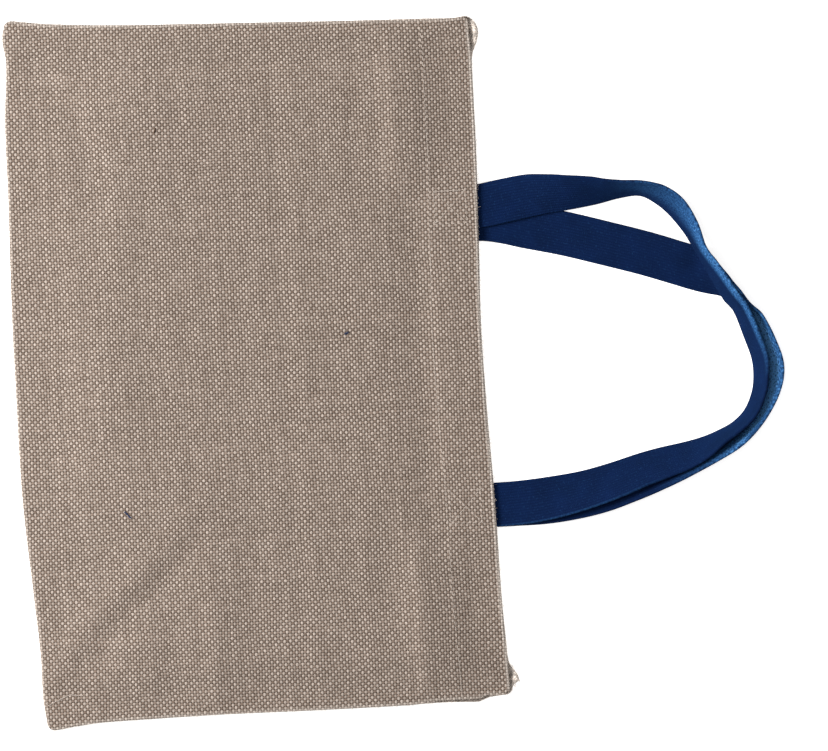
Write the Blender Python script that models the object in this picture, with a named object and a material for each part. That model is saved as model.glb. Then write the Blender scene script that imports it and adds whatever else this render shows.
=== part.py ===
"""Burlap bag lying flat, its mouth towards +X and its two navy handles looped past it.

Two panels of jute cloth are seamed together on three sides and turned right side out.
Each keeps its seam allowances and its mouth hem folded inside, a layer apart from the
cloth above or below. Each handle is one length of webbing whose ends are sewn inside
the mouth, to the hem of its own panel.

The origin is on the surface under the middle of the bag. X runs from the bottom seam to
the mouth, Y along the seam, Z up. Lengths are in millimetres until MM makes them metres.
"""
import math
from bisect import bisect_right
from collections import namedtuple

import bmesh
import bpy
from mathutils import Vector

MM = 0.001

# Cloth and the layers that it makes where it is folded.
CLOTH = 1.2
LAYER_GAP = 0.3
FOLDED = 2 * CLOTH + LAYER_GAP
FOLD_RADIUS = FOLDED / 2
SEAM_TOP = 2 * FOLDED + LAYER_GAP
ALLOWANCE = 11.0
HEM = 30.0

# Handles.
WEB_WIDTH = 25.4
WEB_THICKNESS = 1.8
SEWN_IN = 28.0
STATION_SPACING = 6.0

# Heights of the layers at the handle ends, from the surface up.
BACK_HANDLE_LIFT = FOLDED + LAYER_GAP
FRONT_HANDLE_LIFT = BACK_HANDLE_LIFT + WEB_THICKNESS + LAYER_GAP
ANCHOR_TOP = FRONT_HANDLE_LIFT + WEB_THICKNESS + LAYER_GAP + FOLDED

# The upper panel is held up over the handle ends, this far past them, and a little more.
ANCHOR_MARGIN = 3.0
ANCHOR_FADE = 14.0
ANCHOR_SPARE = 0.2

# The empty bag stands a little open: its upper panel rises from the seams to a low crown.
CROWN = 11.0
SIDE_RISE = 36.0
BOTTOM_RISE = 72.0
MOUTH_BLEND = 60.0
FOLD_FADE = 16.0

# The sewn bag body, and how its edges curl and its corners round.
BODY_LENGTH = 270.0
BODY_WIDTH = 400.0
OUTLINE_PASSES = 3
CORNER_PULL = 0.5
CORNER_CURL = 0.7
CURL_STEPS = 4
BACK_PEEK = 0.2

# Grid lines across the panels: insets from each edge, then the spacing between them.
SEAM_INSETS = (FOLD_RADIUS, ALLOWANCE)
HEM_INSETS = (FOLD_RADIUS, HEM / 3, 2 * HEM / 3, HEM)
CORNER_INSETS = (FOLD_RADIUS, 6.0, ALLOWANCE, 16.0, 21.0, 27.0)
UPPER_GRID = 11.5
UNDER_GRID = 20.0

# Steps in which the length along a handle is measured, and those across its width.
LENGTH_STEPS = 600
RUN_STEP = 0.5
WIDTH_STEPS = 4

EdgeRow = namedtuple("EdgeRow", "along out")
HeightRow = namedtuple("HeightRow", "y top")
FoldRow = namedtuple("FoldRow", "x y rise")
Fold = namedtuple("Fold", "name width rows")
RouteRow = namedtuple("RouteRow", "x y lift lean cup", defaults=[0])
Outline = namedtuple("Outline", "near far bottom mouth")

# Outline of the bag, drawn in a little between its turned-out corners. Near and far sides
# give y along x, the bottom seam and the mouth give x along y.
NEAR_SIDE = [EdgeRow(-131, -201.0), EdgeRow(-116, -198.8), EdgeRow(-101, -197.3),
             EdgeRow(-80, -196.8), EdgeRow(-29, -196.2), EdgeRow(28, -196.6),
             EdgeRow(71, -196.5), EdgeRow(94, -196.0), EdgeRow(110, -196.4),
             EdgeRow(117.5, -196.5), EdgeRow(121.5, -194.6), EdgeRow(129, -193.6),
             EdgeRow(135, -193.4)]
FAR_SIDE = [EdgeRow(-135, 209.0), EdgeRow(-124, 207.3), EdgeRow(-109, 205.4),
            EdgeRow(-80, 203.3), EdgeRow(-37, 201.6), EdgeRow(20, 199.8),
            EdgeRow(63, 198.4), EdgeRow(106, 197.4), EdgeRow(124, 197.0), EdgeRow(132, 198.6)]
BOTTOM_SEAM = [EdgeRow(-201, -131.0), EdgeRow(-182, -133.2), EdgeRow(-159, -133.3),
               EdgeRow(-125, -135.4), EdgeRow(-67, -139.2), EdgeRow(-9, -139.7),
               EdgeRow(48, -139.6), EdgeRow(106, -138.3), EdgeRow(150, -137.9),
               EdgeRow(184, -135.5), EdgeRow(198, -137.0), EdgeRow(209, -134.8)]
MOUTH = [EdgeRow(-194, 135.4), EdgeRow(-165, 134.3), EdgeRow(-139, 133.0),
         EdgeRow(-81, 132.0), EdgeRow(-24, 130.0), EdgeRow(20, 129.3),
         EdgeRow(63, 130.4), EdgeRow(132, 131.8), EdgeRow(172, 131.8),
         EdgeRow(197, 131.0)]

# How far the under panel's mouth shows past the upper one, with its hem's corners turned out.
MOUTH_PEEK = [EdgeRow(-194, 0.8), EdgeRow(-190, 1.4), EdgeRow(-187, 2.6), EdgeRow(-184.5, 6.0),
              EdgeRow(-180.5, 3.6), EdgeRow(-176, 1.0), EdgeRow(-171, BACK_PEEK),
              EdgeRow(170, BACK_PEEK), EdgeRow(177, 1.2), EdgeRow(184, 4.4),
              EdgeRow(191, 5.0), EdgeRow(197, 1.0)]

# Height of the upper panel along the mouth: low at the side seams, held up by the handle
# ends, and gaping most between them.
MOUTH_HEIGHT = [HeightRow(-197, SEAM_TOP), HeightRow(-152, 8.7), HeightRow(-108, 10.0),
                HeightRow(-62, 10.0), HeightRow(-38, 11.0), HeightRow(0, 11.4),
                HeightRow(36, 11.0), HeightRow(60, 10.0), HeightRow(108, 10.0),
                HeightRow(152, 8.7), HeightRow(197, SEAM_TOP)]

# Soft ridges (rise above 0) and troughs (below 0) in the upper panel. Each fades from its
# line within about its width.
FOLDS = [
    Fold("ridge before the hem, its crest, far half", 5.0, [
        FoldRow(83, 192, 0.6), FoldRow(84, 150, 0.9), FoldRow(85, 116, 0.8),
        FoldRow(86, 98, 0.0)]),
    Fold("ridge before the hem, far half", 8.0, [
        FoldRow(87, 196, 1.2), FoldRow(88, 150, 1.5), FoldRow(89, 116, 1.3),
        FoldRow(90, 100, 0.4), FoldRow(90, 90, 0.0)]),
    Fold("ridge's slope to the hem, far half", 9.0, [
        FoldRow(96, 196, 1.4), FoldRow(97, 150, 1.9), FoldRow(98, 112, 1.4),
        FoldRow(98, 96, 0.0)]),
    Fold("ridge before the hem, its crest, near half", 5.0, [
        FoldRow(86, -98, 0.0), FoldRow(86, -108, 0.9), FoldRow(85.5, -145, 1.3),
        FoldRow(86, -186, 0.9)]),
    Fold("ridge before the hem, near half", 9.0, [
        FoldRow(90, -92, 0.0), FoldRow(90, -106, 1.2), FoldRow(90, -145, 2.0),
        FoldRow(91, -192, 1.6)]),
    Fold("ridge's slope to the hem, near half", 12.0, [
        FoldRow(100, -100, 0.2), FoldRow(101, -120, 1.4), FoldRow(101, -150, 2.0),
        FoldRow(102, -192, 1.4)]),
    Fold("hollow before the hem", 13.0, [
        FoldRow(98, 104, -0.3), FoldRow(94, 60, -1.2), FoldRow(92, 15, -1.8),
        FoldRow(92, -20, -1.7), FoldRow(94, -55, -1.4), FoldRow(96, -92, -0.6)]),
    Fold("trough at the hem's inner edge", 4.5, [
        FoldRow(98, 70, -0.3), FoldRow(97.5, 10, -0.4), FoldRow(97.5, -30, -0.5),
        FoldRow(97.5, -60, -0.6), FoldRow(98, -88, -0.4)]),
    Fold("hollow before the ridge", 7.0, [
        FoldRow(70, -84, -0.5), FoldRow(69, -105, -1.1), FoldRow(68, -130, -0.8),
        FoldRow(67, -160, -0.2)]),
    Fold("corner crease, its ridge", 8.5, [
        FoldRow(-126, -168, 0.6), FoldRow(-114, -152, 1.3), FoldRow(-99, -136, 1.6),
        FoldRow(-81, -120, 1.6), FoldRow(-63, -104, 1.3), FoldRow(-46, -86, 0.9),
        FoldRow(-30, -62, 0.5), FoldRow(-14, -28, 0.0)]),
    Fold("corner crease, its trough", 9.0, [
        FoldRow(-118, -182, -0.5), FoldRow(-101, -157, -1.2), FoldRow(-85, -139, -1.3),
        FoldRow(-67, -123, -1.3), FoldRow(-49, -106, -1.0), FoldRow(-34, -88, -0.4),
        FoldRow(-20, -66, 0.0)]),
    Fold("soft ridge by the near side", 10.0, [
        FoldRow(-31, -96, 0.2), FoldRow(-31, -126, 1.2), FoldRow(-33, -186, 1.3)]),
    Fold("hollow by the near side", 12.0, [
        FoldRow(-57, -146, -0.5), FoldRow(-56, -164, -1.2), FoldRow(-55, -182, -0.9)]),
    Fold("swell by the bottom seam", 15.0, [
        FoldRow(-96, 70, 0.2), FoldRow(-92, 35, 1.4), FoldRow(-92, -20, 1.8),
        FoldRow(-96, -60, 0.7)]),
    Fold("swell above the corner crease", 11.0, [
        FoldRow(-62, -40, 0.3), FoldRow(-57, -68, 1.1), FoldRow(-56, -84, 0.4)]),
    Fold("far corner crease", 8.0, [
        FoldRow(-128, 196, -0.4), FoldRow(-105, 161, -0.9), FoldRow(-93, 132, -0.9),
        FoldRow(-88, 103, -0.7), FoldRow(-90, 57, -0.2)]),
    Fold("far corner swell", 13.0, [
        FoldRow(-60, 186, 0.9), FoldRow(-58, 150, 0.9), FoldRow(-58, 105, 0.4)]),
    Fold("long hollow on the far half", 14.0, [
        FoldRow(20, 172, -0.3), FoldRow(20, 140, -0.6), FoldRow(18, 95, -0.6),
        FoldRow(16, 50, -0.2)]),
    Fold("narrow hollow on the far half", 6.0, [
        FoldRow(61, 192, -0.5), FoldRow(62, 140, -0.6), FoldRow(61, 100, -0.2)]),
    Fold("bump near the far side", 10.0, [
        FoldRow(-34, 184, 0.7), FoldRow(-28, 174, 0.3)]),
]

# The handles' routes from the far end to the near end, given by the long edge that faces
# the inside of the loop: its place, how high it lies, how many degrees the webbing leans up
# from flat, with its outer edge highest, and how many degrees it is cupped across its width
# where it rolls up from flat on to its edge.
FRONT_ROUTE = [
    RouteRow(149, 77.9, 4.2, 3), RouteRow(163, 80.2, 2.9, 14), RouteRow(173, 81.7, 2.6, 29),
    RouteRow(184, 82.7, 2.5, 39), RouteRow(201, 85.2, 1.3, 54), RouteRow(213, 87.9, 0.6, 68),
    RouteRow(224, 88.8, 0.3, 73), RouteRow(231.6, 84.8, 0.6, 67), RouteRow(240, 77.4, 2.2, 65),
    RouteRow(248, 67.0, 5.0, 71), RouteRow(255, 54.0, 7.2, 79), RouteRow(260, 43.5, 8.1, 75),
    RouteRow(265.4, 33.0, 8.0, 73), RouteRow(270.2, 25.1, 6.4, 73), RouteRow(275, 18.6, 4.0, 74),
    RouteRow(280, 3.8, 0.6, 72), RouteRow(283.5, -8.0, 0.1, 72), RouteRow(284, -18.0, 0.1, 74),
    RouteRow(282.5, -27.0, 0.1, 75), RouteRow(278, -36.5, 0.1, 76),
    RouteRow(271, -43.2, 0.1, 77), RouteRow(262, -47.6, 0.1, 73), RouteRow(252, -51.0, 0.1, 62),
    RouteRow(242, -53.2, 0.1, 53), RouteRow(228, -55.6, 0.2, 46), RouteRow(215, -58.5, 0.4, 42),
    RouteRow(199, -62.9, 0.9, 36), RouteRow(182, -66.7, 1.6, 29), RouteRow(163, -69.2, 2.7, 16),
    RouteRow(146, -70.7, 3.9, 5)]
BACK_ROUTE = [
    RouteRow(143, 66.0, 1.9, 0), RouteRow(154, 63.0, 0.8, 0), RouteRow(177, 57.4, 0.1, 0),
    RouteRow(199, 50.9, 0.1, 2), RouteRow(222, 43.8, 0.1, 4), RouteRow(239, 37.8, 0.2, 8),
    RouteRow(251, 33.5, 0.5, 10, 20), RouteRow(260, 30.5, 0.5, 37, 70),
    RouteRow(268, 28.1, 0.45, 62, 50), RouteRow(274, 25.4, 0.4, 75, 24),
    RouteRow(278.6, 20.8, 0.25, 79, 8), RouteRow(281.2, 15.0, 0.1, 71),
    RouteRow(283, 8.0, 0.1, 66), RouteRow(285.6, -2.5, 0.1, 62), RouteRow(287.8, -12.0, 0.1, 60.5),
    RouteRow(287.6, -19.5, 0.1, 62), RouteRow(285, -29.0, 0.1, 66), RouteRow(279, -39.5, 0.1, 69),
    RouteRow(269.5, -47.4, 0.1, 66), RouteRow(257.5, -52.4, 0.1, 61), RouteRow(239, -56.8, 0.1, 48),
    RouteRow(221, -60.8, 0.1, 36), RouteRow(206, -64.6, 0.1, 29), RouteRow(191, -67.9, 0.1, 21),
    RouteRow(176, -70.0, 0.1, 14), RouteRow(160, -71.2, 0.7, 6), RouteRow(146, -71.4, 1.8, 0)]
FRONT_ENDS = {"far": 75.4, "near": -71.2}
BACK_ENDS = {"far": 67.9, "near": -71.4}
END_X = 131.0

JUTE_COLOUR = (0.333, 0.266, 0.223)
JUTE_ROUGHNESS = 0.95
NAVY_COLOUR = (0.0065, 0.0185, 0.0742)
NAVY_ROUGHNESS = 0.85


def smooth_step(t):
    """0 to 1 as t goes from 0 to 1, level at both ends."""
    t = min(max(t, 0.0), 1.0)
    return t * t * (3 - 2 * t)


def mix(a, b, t):
    return a + (b - a) * t


def smooth_through(places, values, at):
    """Value at a place, on a smooth curve through the given values at rising places.

    A stretch between two equal values stays straight.
    """
    if at <= places[0]:
        return values[0]
    if at >= places[-1]:
        return values[-1]
    last = len(places) - 1
    k = bisect_right(places, at) - 1
    span = places[k + 1] - places[k]

    def slope(i):
        low, high = max(i - 1, 0), min(i + 1, last)
        if (values[high] - values[i]) * (values[i] - values[low]) == 0 and 0 < i < last:
            return 0.0
        return (values[high] - values[low]) / (places[high] - places[low])

    t = (at - places[k]) / span
    start, end = slope(k) * span, slope(k + 1) * span
    rise = values[k + 1] - values[k]
    return values[k] + t * (start + t * (3 * rise - 2 * start - end + t * (start + end - 2 * rise)))


def edge_value(rows, at):
    return smooth_through([row.along for row in rows], [row.out for row in rows], at)


def bag_point(outline, u, v):
    """Point at share u from the bottom seam to the mouth and v from near to far side."""
    x = mix(-BODY_LENGTH / 2, BODY_LENGTH / 2, u)
    for _ in range(OUTLINE_PASSES):
        y = mix(edge_value(outline.near, x), edge_value(outline.far, x), v)
        x = mix(edge_value(outline.bottom, y), edge_value(outline.mouth, y), u)
    return x, y


def mouth_height(y):
    """Height of the upper panel at the mouth, level at each row of its table."""
    rows = MOUTH_HEIGHT
    if y <= rows[0].y or y >= rows[-1].y:
        return SEAM_TOP
    k = bisect_right([row.y for row in rows], y) - 1
    share = (y - rows[k].y) / (rows[k + 1].y - rows[k].y)
    return mix(rows[k].top, rows[k + 1].top, smooth_step(share))


def fold_height(x, y):
    """Sum of the folds' ridges and troughs at a point."""
    total = 0.0
    point = Vector((x, y))
    for fold in FOLDS:
        nearest, rise = math.inf, 0.0
        for start, end in zip(fold.rows, fold.rows[1:]):
            a, b = Vector((start.x, start.y)), Vector((end.x, end.y))
            along = min(max((point - a).dot(b - a) / (b - a).length_squared, 0.0), 1.0)
            distance = (point - a.lerp(b, along)).length
            if distance < nearest:
                nearest, rise = distance, mix(start.rise, end.rise, along)
        total += rise * math.exp(-(nearest / fold.width) ** 2)
    return total


def anchor_floor(x, y):
    """Least height of the upper panel over the sewn-in handle ends, soft outside them."""
    past_x = max(END_X - SEWN_IN - ANCHOR_MARGIN - x, 0.0)
    reach = 0.0
    for ends in (FRONT_ENDS, BACK_ENDS):
        far, near = ends["far"], ends["near"]
        past_far = max(far - y, y - far - WEB_WIDTH, 0.0)
        past_near = max(near - WEB_WIDTH - y, y - near, 0.0)
        past_y = max(min(past_far, past_near) - ANCHOR_MARGIN, 0.0)
        reach = max(reach, smooth_step(1 - math.hypot(past_x, past_y) / ANCHOR_FADE))
    return mix(SEAM_TOP, ANCHOR_TOP + ANCHOR_SPARE, reach)


def front_height(x, y):
    """Height of the upper panel's right side above the surface."""
    side = min(y - edge_value(NEAR_SIDE, x), edge_value(FAR_SIDE, x) - y)
    from_bottom = x - edge_value(BOTTOM_SEAM, y)
    to_mouth = edge_value(MOUTH, y) - x
    body = mix(SEAM_TOP, CROWN, smooth_step(side / SIDE_RISE))
    top = mix(mouth_height(y), body, smooth_step(to_mouth / MOUTH_BLEND))
    top = mix(SEAM_TOP, top, smooth_step(from_bottom / BOTTOM_RISE))
    fade = smooth_step(side / FOLD_FADE) * smooth_step(from_bottom / FOLD_FADE)
    return max(top + fold_height(x, y) * fade, anchor_floor(x, y), SEAM_TOP)


def back_height(x, y):
    """The under panel lies flat on the surface."""
    return 0.0


def grid_lines(total, first, last, spacing):
    """Places of the grid lines across a side: the inset lines at both ends, even between."""
    steps = max(1, round((total - first[-1] - last[-1]) / spacing))
    inner = [mix(first[-1], total - last[-1], k / steps) for k in range(1, steps)]
    return list(first) + inner + [total - inset for inset in reversed(last)]


def panel_mesh(name, outline, height, up, u_lines, v_lines):
    """One cloth panel with its allowances and hem folded to its wrong side.

    up is -1 where the folded layers lie under the cloth and 1 where they lie on top of it.
    """
    mesh = bmesh.new()
    columns, rows = len(u_lines) - 1, len(v_lines) - 1
    allow_columns = sum(1 for line in u_lines if line <= ALLOWANCE) - 1
    allow_rows = sum(1 for line in v_lines if line <= ALLOWANCE) - 1
    hem_columns = sum(1 for line in u_lines if line >= BODY_LENGTH - HEM) - 1

    def side_of(k, count):
        return (k == count) - (k == 0)

    def is_corner(i, j):
        return bool(side_of(i, columns) and side_of(j, rows))

    plan = {}
    for i, u_mm in enumerate(u_lines):
        for j, v_mm in enumerate(v_lines):
            x, y = bag_point(outline, u_mm / BODY_LENGTH, v_mm / BODY_WIDTH)
            if is_corner(i, j):
                x -= CORNER_PULL * side_of(i, columns)
                y -= CORNER_PULL * side_of(j, rows)
            plan[i, j] = (x, y, height(x, y))

    def place(i, j, depth, out=0.0):
        x, y, face = plan[i, j]
        if is_corner(i, j):
            out *= CORNER_CURL
        x += out * side_of(i, columns)
        y += out * side_of(j, rows)
        return mesh.verts.new(Vector((x, y, face + up * depth)) * MM)

    def in_folded_frame(i, j):
        return (i < allow_columns or i >= columns - hem_columns
                or j < allow_rows or j >= rows - allow_rows)

    def cell_corners(i, j):
        return [(i, j), (i + 1, j), (i + 1, j + 1), (i, j + 1)]

    every_cell = [(i, j) for i in range(columns) for j in range(rows)]
    frame_cells = [cell for cell in every_cell if in_folded_frame(*cell)]
    frame_points = {corner for cell in frame_cells for corner in cell_corners(*cell)}
    layers = {
        "right side": {key: place(*key, 0.0) for key in plan},
        "wrong side": {key: place(*key, CLOTH) for key in plan},
        "folded wrong side": {key: place(*key, CLOTH + LAYER_GAP) for key in frame_points},
        "folded right side": {key: place(*key, FOLDED) for key in frame_points},
    }

    def add_band(first, second):
        """Two triangles between two pairs of neighbouring points."""
        mesh.faces.new((first[0], first[1], second[1]))
        mesh.faces.new((first[0], second[1], second[0]))

    for layer, cells in (("right side", every_cell), ("wrong side", every_cell),
                         ("folded wrong side", frame_cells),
                         ("folded right side", frame_cells)):
        points = layers[layer]
        for i, j in cells:
            a, b, c, d = (points[key] for key in cell_corners(i, j))
            add_band((a, b), (d, c))

    rim = ([(i, 0) for i in range(columns)] + [(columns, j) for j in range(rows)]
           + [(i, rows) for i in range(columns, 0, -1)] + [(0, j) for j in range(rows, 0, -1)])
    curls = []
    for key in rim:
        arc = [layers["right side"][key]]
        for step in range(1, CURL_STEPS):
            turn = math.pi * step / CURL_STEPS
            depth = FOLD_RADIUS * (1 - math.cos(turn))
            arc.append(place(*key, depth, FOLD_RADIUS * math.sin(turn)))
        arc.append(layers["folded right side"][key])
        curls.append(arc)
    for k, key in enumerate(rim):
        after = (k + 1) % len(rim)
        for step in range(CURL_STEPS):
            add_band(curls[k][step:step + 2], curls[after][step:step + 2])
        pair = [(layers["wrong side"][end], layers["folded wrong side"][end])
                for end in (key, rim[after])]
        add_band(*pair)

    for i, j in every_cell:
        if in_folded_frame(i, j):
            continue
        corners = cell_corners(i, j)
        beside = [(i, j - 1), (i + 1, j), (i, j + 1), (i - 1, j)]
        for k, neighbour in enumerate(beside):
            if in_folded_frame(*neighbour):
                pair = [(layers["folded wrong side"][end], layers["folded right side"][end])
                        for end in (corners[k], corners[(k + 1) % 4])]
                add_band(*pair)

    bmesh.ops.recalc_face_normals(mesh, faces=mesh.faces)
    data = bpy.data.meshes.new(name)
    mesh.to_mesh(data)
    mesh.free()
    return data


def handle_rows(route, ends, lift):
    """The route with its straight sewn-in ends added."""
    inner_x = END_X - SEWN_IN
    middle_x = END_X - SEWN_IN / 2
    far = [RouteRow(x, ends["far"], lift, 0) for x in (inner_x, middle_x, END_X)]
    near = [RouteRow(x, ends["near"], lift, 0) for x in (END_X, middle_x, inner_x)]
    return far + route + near


def handle_stations(rows):
    """Centre, width direction, thickness direction and cup at even steps along a handle."""
    travelled = [0.0]
    for a, b in zip(rows, rows[1:]):
        travelled.append(travelled[-1] + math.hypot(b.x - a.x, b.y - a.y))
    columns = {name: [getattr(row, name) for row in rows] for name in RouteRow._fields}

    def at(name, distance):
        return smooth_through(travelled, columns[name], distance)

    def centre_and_width(distance):
        ahead, behind = distance + RUN_STEP, distance - RUN_STEP
        run = Vector((at("x", ahead) - at("x", behind), at("y", ahead) - at("y", behind)))
        outward = Vector((-run.y, run.x, 0.0)).normalized()
        lean = math.radians(at("lean", distance))
        across = outward * math.cos(lean) + Vector((0, 0, math.sin(lean)))
        edge = Vector((at("x", distance), at("y", distance), at("lift", distance)))
        half = WEB_THICKNESS / 2
        edge += outward * half * math.sin(lean) + Vector((0, 0, half * math.cos(lean)))
        return edge + across * WEB_WIDTH / 2, across

    marks = [travelled[-1] * k / LENGTH_STEPS for k in range(LENGTH_STEPS + 1)]
    fine = [centre_and_width(mark)[0] for mark in marks]
    lengths = [0.0]
    for a, b in zip(fine, fine[1:]):
        lengths.append(lengths[-1] + (b - a).length)
    count = round(lengths[-1] / STATION_SPACING)
    stations = []
    for k in range(count + 1):
        distance = smooth_through(lengths, marks, lengths[-1] * k / count)
        stations.append((*centre_and_width(distance), max(at("cup", distance), 0.0)))
    framed = []
    for k, (centre, across, cup) in enumerate(stations):
        before, after = stations[max(k - 1, 0)][0], stations[min(k + 1, count)][0]
        run = (after - before).normalized()
        across = (across - run * across.dot(run)).normalized()
        framed.append((centre, across, run.cross(across), cup))
    return framed


def cupped(from_middle, cup):
    """Where a point of the webbing's width lies when it is bent to an arc of cup degrees.

    Gives its distance across and off the straight line, and how far the arc has turned
    there. The edge on the inside of the loop stays where it is.
    """
    arc = math.radians(cup)
    if arc < 1e-6:
        return from_middle, 0.0, 0.0
    turn = arc * from_middle / WEB_WIDTH
    radius = WEB_WIDTH / arc
    across = radius * (math.sin(turn) + math.sin(arc / 2)) - WEB_WIDTH / 2
    off = radius * (math.cos(arc / 2) - math.cos(turn))
    return across, off, turn


def handle_mesh(name, rows):
    """A strap swept along its stations, with square edges and closed ends."""
    mesh = bmesh.new()
    half_thick = WEB_THICKNESS / 2
    widths = [WEB_WIDTH * (k / WIDTH_STEPS - 0.5) for k in range(WIDTH_STEPS + 1)]
    section = ([(width, half_thick) for width in widths]
               + [(width, -half_thick) for width in reversed(widths)])
    rings = []
    for centre, across, face, cup in handle_stations(rows):
        ring = []
        for width, thick in section:
            along, off, turn = cupped(width, cup)
            place = centre + across * (along - thick * math.sin(turn))
            place += face * (off + thick * math.cos(turn))
            ring.append(mesh.verts.new(place * MM))
        rings.append(ring)
    for ring, after in zip(rings, rings[1:]):
        for k in range(len(section)):
            n = (k + 1) % len(section)
            mesh.faces.new((ring[k], ring[n], after[n], after[k]))
    for ring in (rings[0], rings[-1]):
        for k in range(WIDTH_STEPS):
            mesh.faces.new((ring[k], ring[k + 1], ring[-2 - k], ring[-1 - k]))
    bmesh.ops.triangulate(mesh, faces=mesh.faces)
    bmesh.ops.recalc_face_normals(mesh, faces=mesh.faces)
    data = bpy.data.meshes.new(name)
    mesh.to_mesh(data)
    mesh.free()
    return data


def cloth_material(name, colour, roughness):
    material = bpy.data.materials.new(name)
    material.use_nodes = True
    shader = material.node_tree.nodes["Principled BSDF"]
    shader.inputs["Base Color"].default_value = (*colour, 1.0)
    shader.inputs["Roughness"].default_value = roughness
    shader.inputs["Metallic"].default_value = 0.0
    return material


def add_part(data, material):
    part = bpy.data.objects.new(data.name, data)
    part.data.materials.append(material)
    bpy.context.scene.collection.objects.link(part)
    return part


def main():
    for old in list(bpy.data.objects):
        bpy.data.objects.remove(old, do_unlink=True)

    jute = cloth_material("jute cloth", JUTE_COLOUR, JUTE_ROUGHNESS)
    navy = cloth_material("navy cotton webbing", NAVY_COLOUR, NAVY_ROUGHNESS)

    front_outline = Outline(NEAR_SIDE, FAR_SIDE, BOTTOM_SEAM, MOUTH)
    places = sorted({row.along for row in MOUTH + MOUTH_PEEK})
    back_mouth = [EdgeRow(y, edge_value(MOUTH, y) + edge_value(MOUTH_PEEK, y)) for y in places]
    back_outline = Outline(NEAR_SIDE, FAR_SIDE, BOTTOM_SEAM, back_mouth)

    front = panel_mesh("front_panel", front_outline, front_height, -1,
                       grid_lines(BODY_LENGTH, SEAM_INSETS, HEM_INSETS, UPPER_GRID),
                       grid_lines(BODY_WIDTH, SEAM_INSETS, SEAM_INSETS, UPPER_GRID))
    back = panel_mesh("back_panel", back_outline, back_height, 1,
                      grid_lines(BODY_LENGTH, SEAM_INSETS, HEM_INSETS, UNDER_GRID),
                      grid_lines(BODY_WIDTH, CORNER_INSETS, CORNER_INSETS, UNDER_GRID))
    add_part(front, jute)
    add_part(back, jute)

    front_rows = handle_rows(FRONT_ROUTE, FRONT_ENDS, FRONT_HANDLE_LIFT)
    back_rows = handle_rows(BACK_ROUTE, BACK_ENDS, BACK_HANDLE_LIFT)
    add_part(handle_mesh("handle_front", front_rows), navy)
    add_part(handle_mesh("handle_back", back_rows), navy)


main()
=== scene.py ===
"""Looks of the burlap bag: jute cloth, navy webbing, sewing, frayed yarns and the view.

Sizes and tables are in millimetres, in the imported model's frame: X from the bottom seam to
the mouth and the handles, Y along the seam, Z up from the surface that the bag lies on.
"""
import math
from collections import namedtuple

import bmesh
import bpy
import numpy as np
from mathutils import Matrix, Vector, noise


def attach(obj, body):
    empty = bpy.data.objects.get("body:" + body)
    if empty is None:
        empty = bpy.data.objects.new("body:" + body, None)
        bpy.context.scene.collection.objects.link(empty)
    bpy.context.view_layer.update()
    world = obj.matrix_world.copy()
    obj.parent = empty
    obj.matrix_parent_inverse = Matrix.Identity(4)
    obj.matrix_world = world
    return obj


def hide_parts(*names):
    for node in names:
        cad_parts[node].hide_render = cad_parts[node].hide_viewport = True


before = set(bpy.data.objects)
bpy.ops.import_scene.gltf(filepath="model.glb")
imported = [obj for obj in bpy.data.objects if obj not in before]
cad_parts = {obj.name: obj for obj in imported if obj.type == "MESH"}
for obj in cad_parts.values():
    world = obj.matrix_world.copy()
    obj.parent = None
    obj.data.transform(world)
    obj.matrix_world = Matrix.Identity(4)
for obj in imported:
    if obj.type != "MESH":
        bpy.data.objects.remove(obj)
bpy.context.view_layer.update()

MM = 0.001
BODY = "root"

# Sockets of a Mix node that is set to colours.
COLOUR_A, COLOUR_B, COLOUR_OUT = 6, 7, 2

# Cloth and the layers that it makes where it is folded.
CLOTH = 1.2
LAYER_GAP = 0.3
FOLDED = 2 * CLOTH + LAYER_GAP
FOLD_RADIUS = FOLDED / 2
SEAM_TOP = 2 * FOLDED + LAYER_GAP
ALLOWANCE = 11.0
HEM = 30.0

# Handles.
WEB_WIDTH = 25.4
WEB_THICKNESS = 1.8
SEWN_IN = 28.0
BACK_HANDLE_LIFT = FOLDED + LAYER_GAP
FRONT_HANDLE_LIFT = BACK_HANDLE_LIFT + WEB_THICKNESS + LAYER_GAP
ANCHOR_TOP = FRONT_HANDLE_LIFT + WEB_THICKNESS + LAYER_GAP + FOLDED
ANCHOR_MARGIN = 3.0
ANCHOR_FADE = 14.0
ANCHOR_SPARE = 0.2

# The upper panel's crown, and how far its edges take to rise to it.
CROWN = 11.0
SIDE_RISE = 36.0
BOTTOM_RISE = 72.0
MOUTH_BLEND = 60.0
FOLD_FADE = 16.0

# The sewn bag body.
BODY_LENGTH = 270.0
BODY_WIDTH = 400.0
OUTLINE_PASSES = 3
BACK_PEEK = 0.2

# Fineness of the meshes.
CLOTH_GRID = 2.6
CORNER_MARKS = (FOLD_RADIUS, 2.3, 3.4, 4.8, 6.6, 8.8, ALLOWANCE)
CORNER_RADIUS = 3.0
CURL_STEPS = 7
STATION_SPACING = 1.6
LENGTH_STEPS = 600
RUN_STEP = 0.5
LEAST_ARC = 1e-4

# The cloth's weave: how far its yarns lie apart, how far they wander (in yarns) and over
# what length, how their slubs stretch along them, and their half sizes, in yarns.
YARN_PITCH = 1.667
WANDER_SIZE = 45.0
WANDER = 2.0
SLUB_SCALE = (7.31, 0.05, 41.7)
YARN_HALF_WIDTH = (0.44, 0.52)
DOT_HALF_LENGTH = (0.57, 0.66)
CLOTH_RELIEF = 0.32
YARN_SHOWN_FROM = 0.6

# Fine fibres on both weaves: their size, and their share of the relief.
CLOTH_FIBRES = (0.4, 0.12)
WEBBING_FIBRES = (0.3, 0.15)

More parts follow.
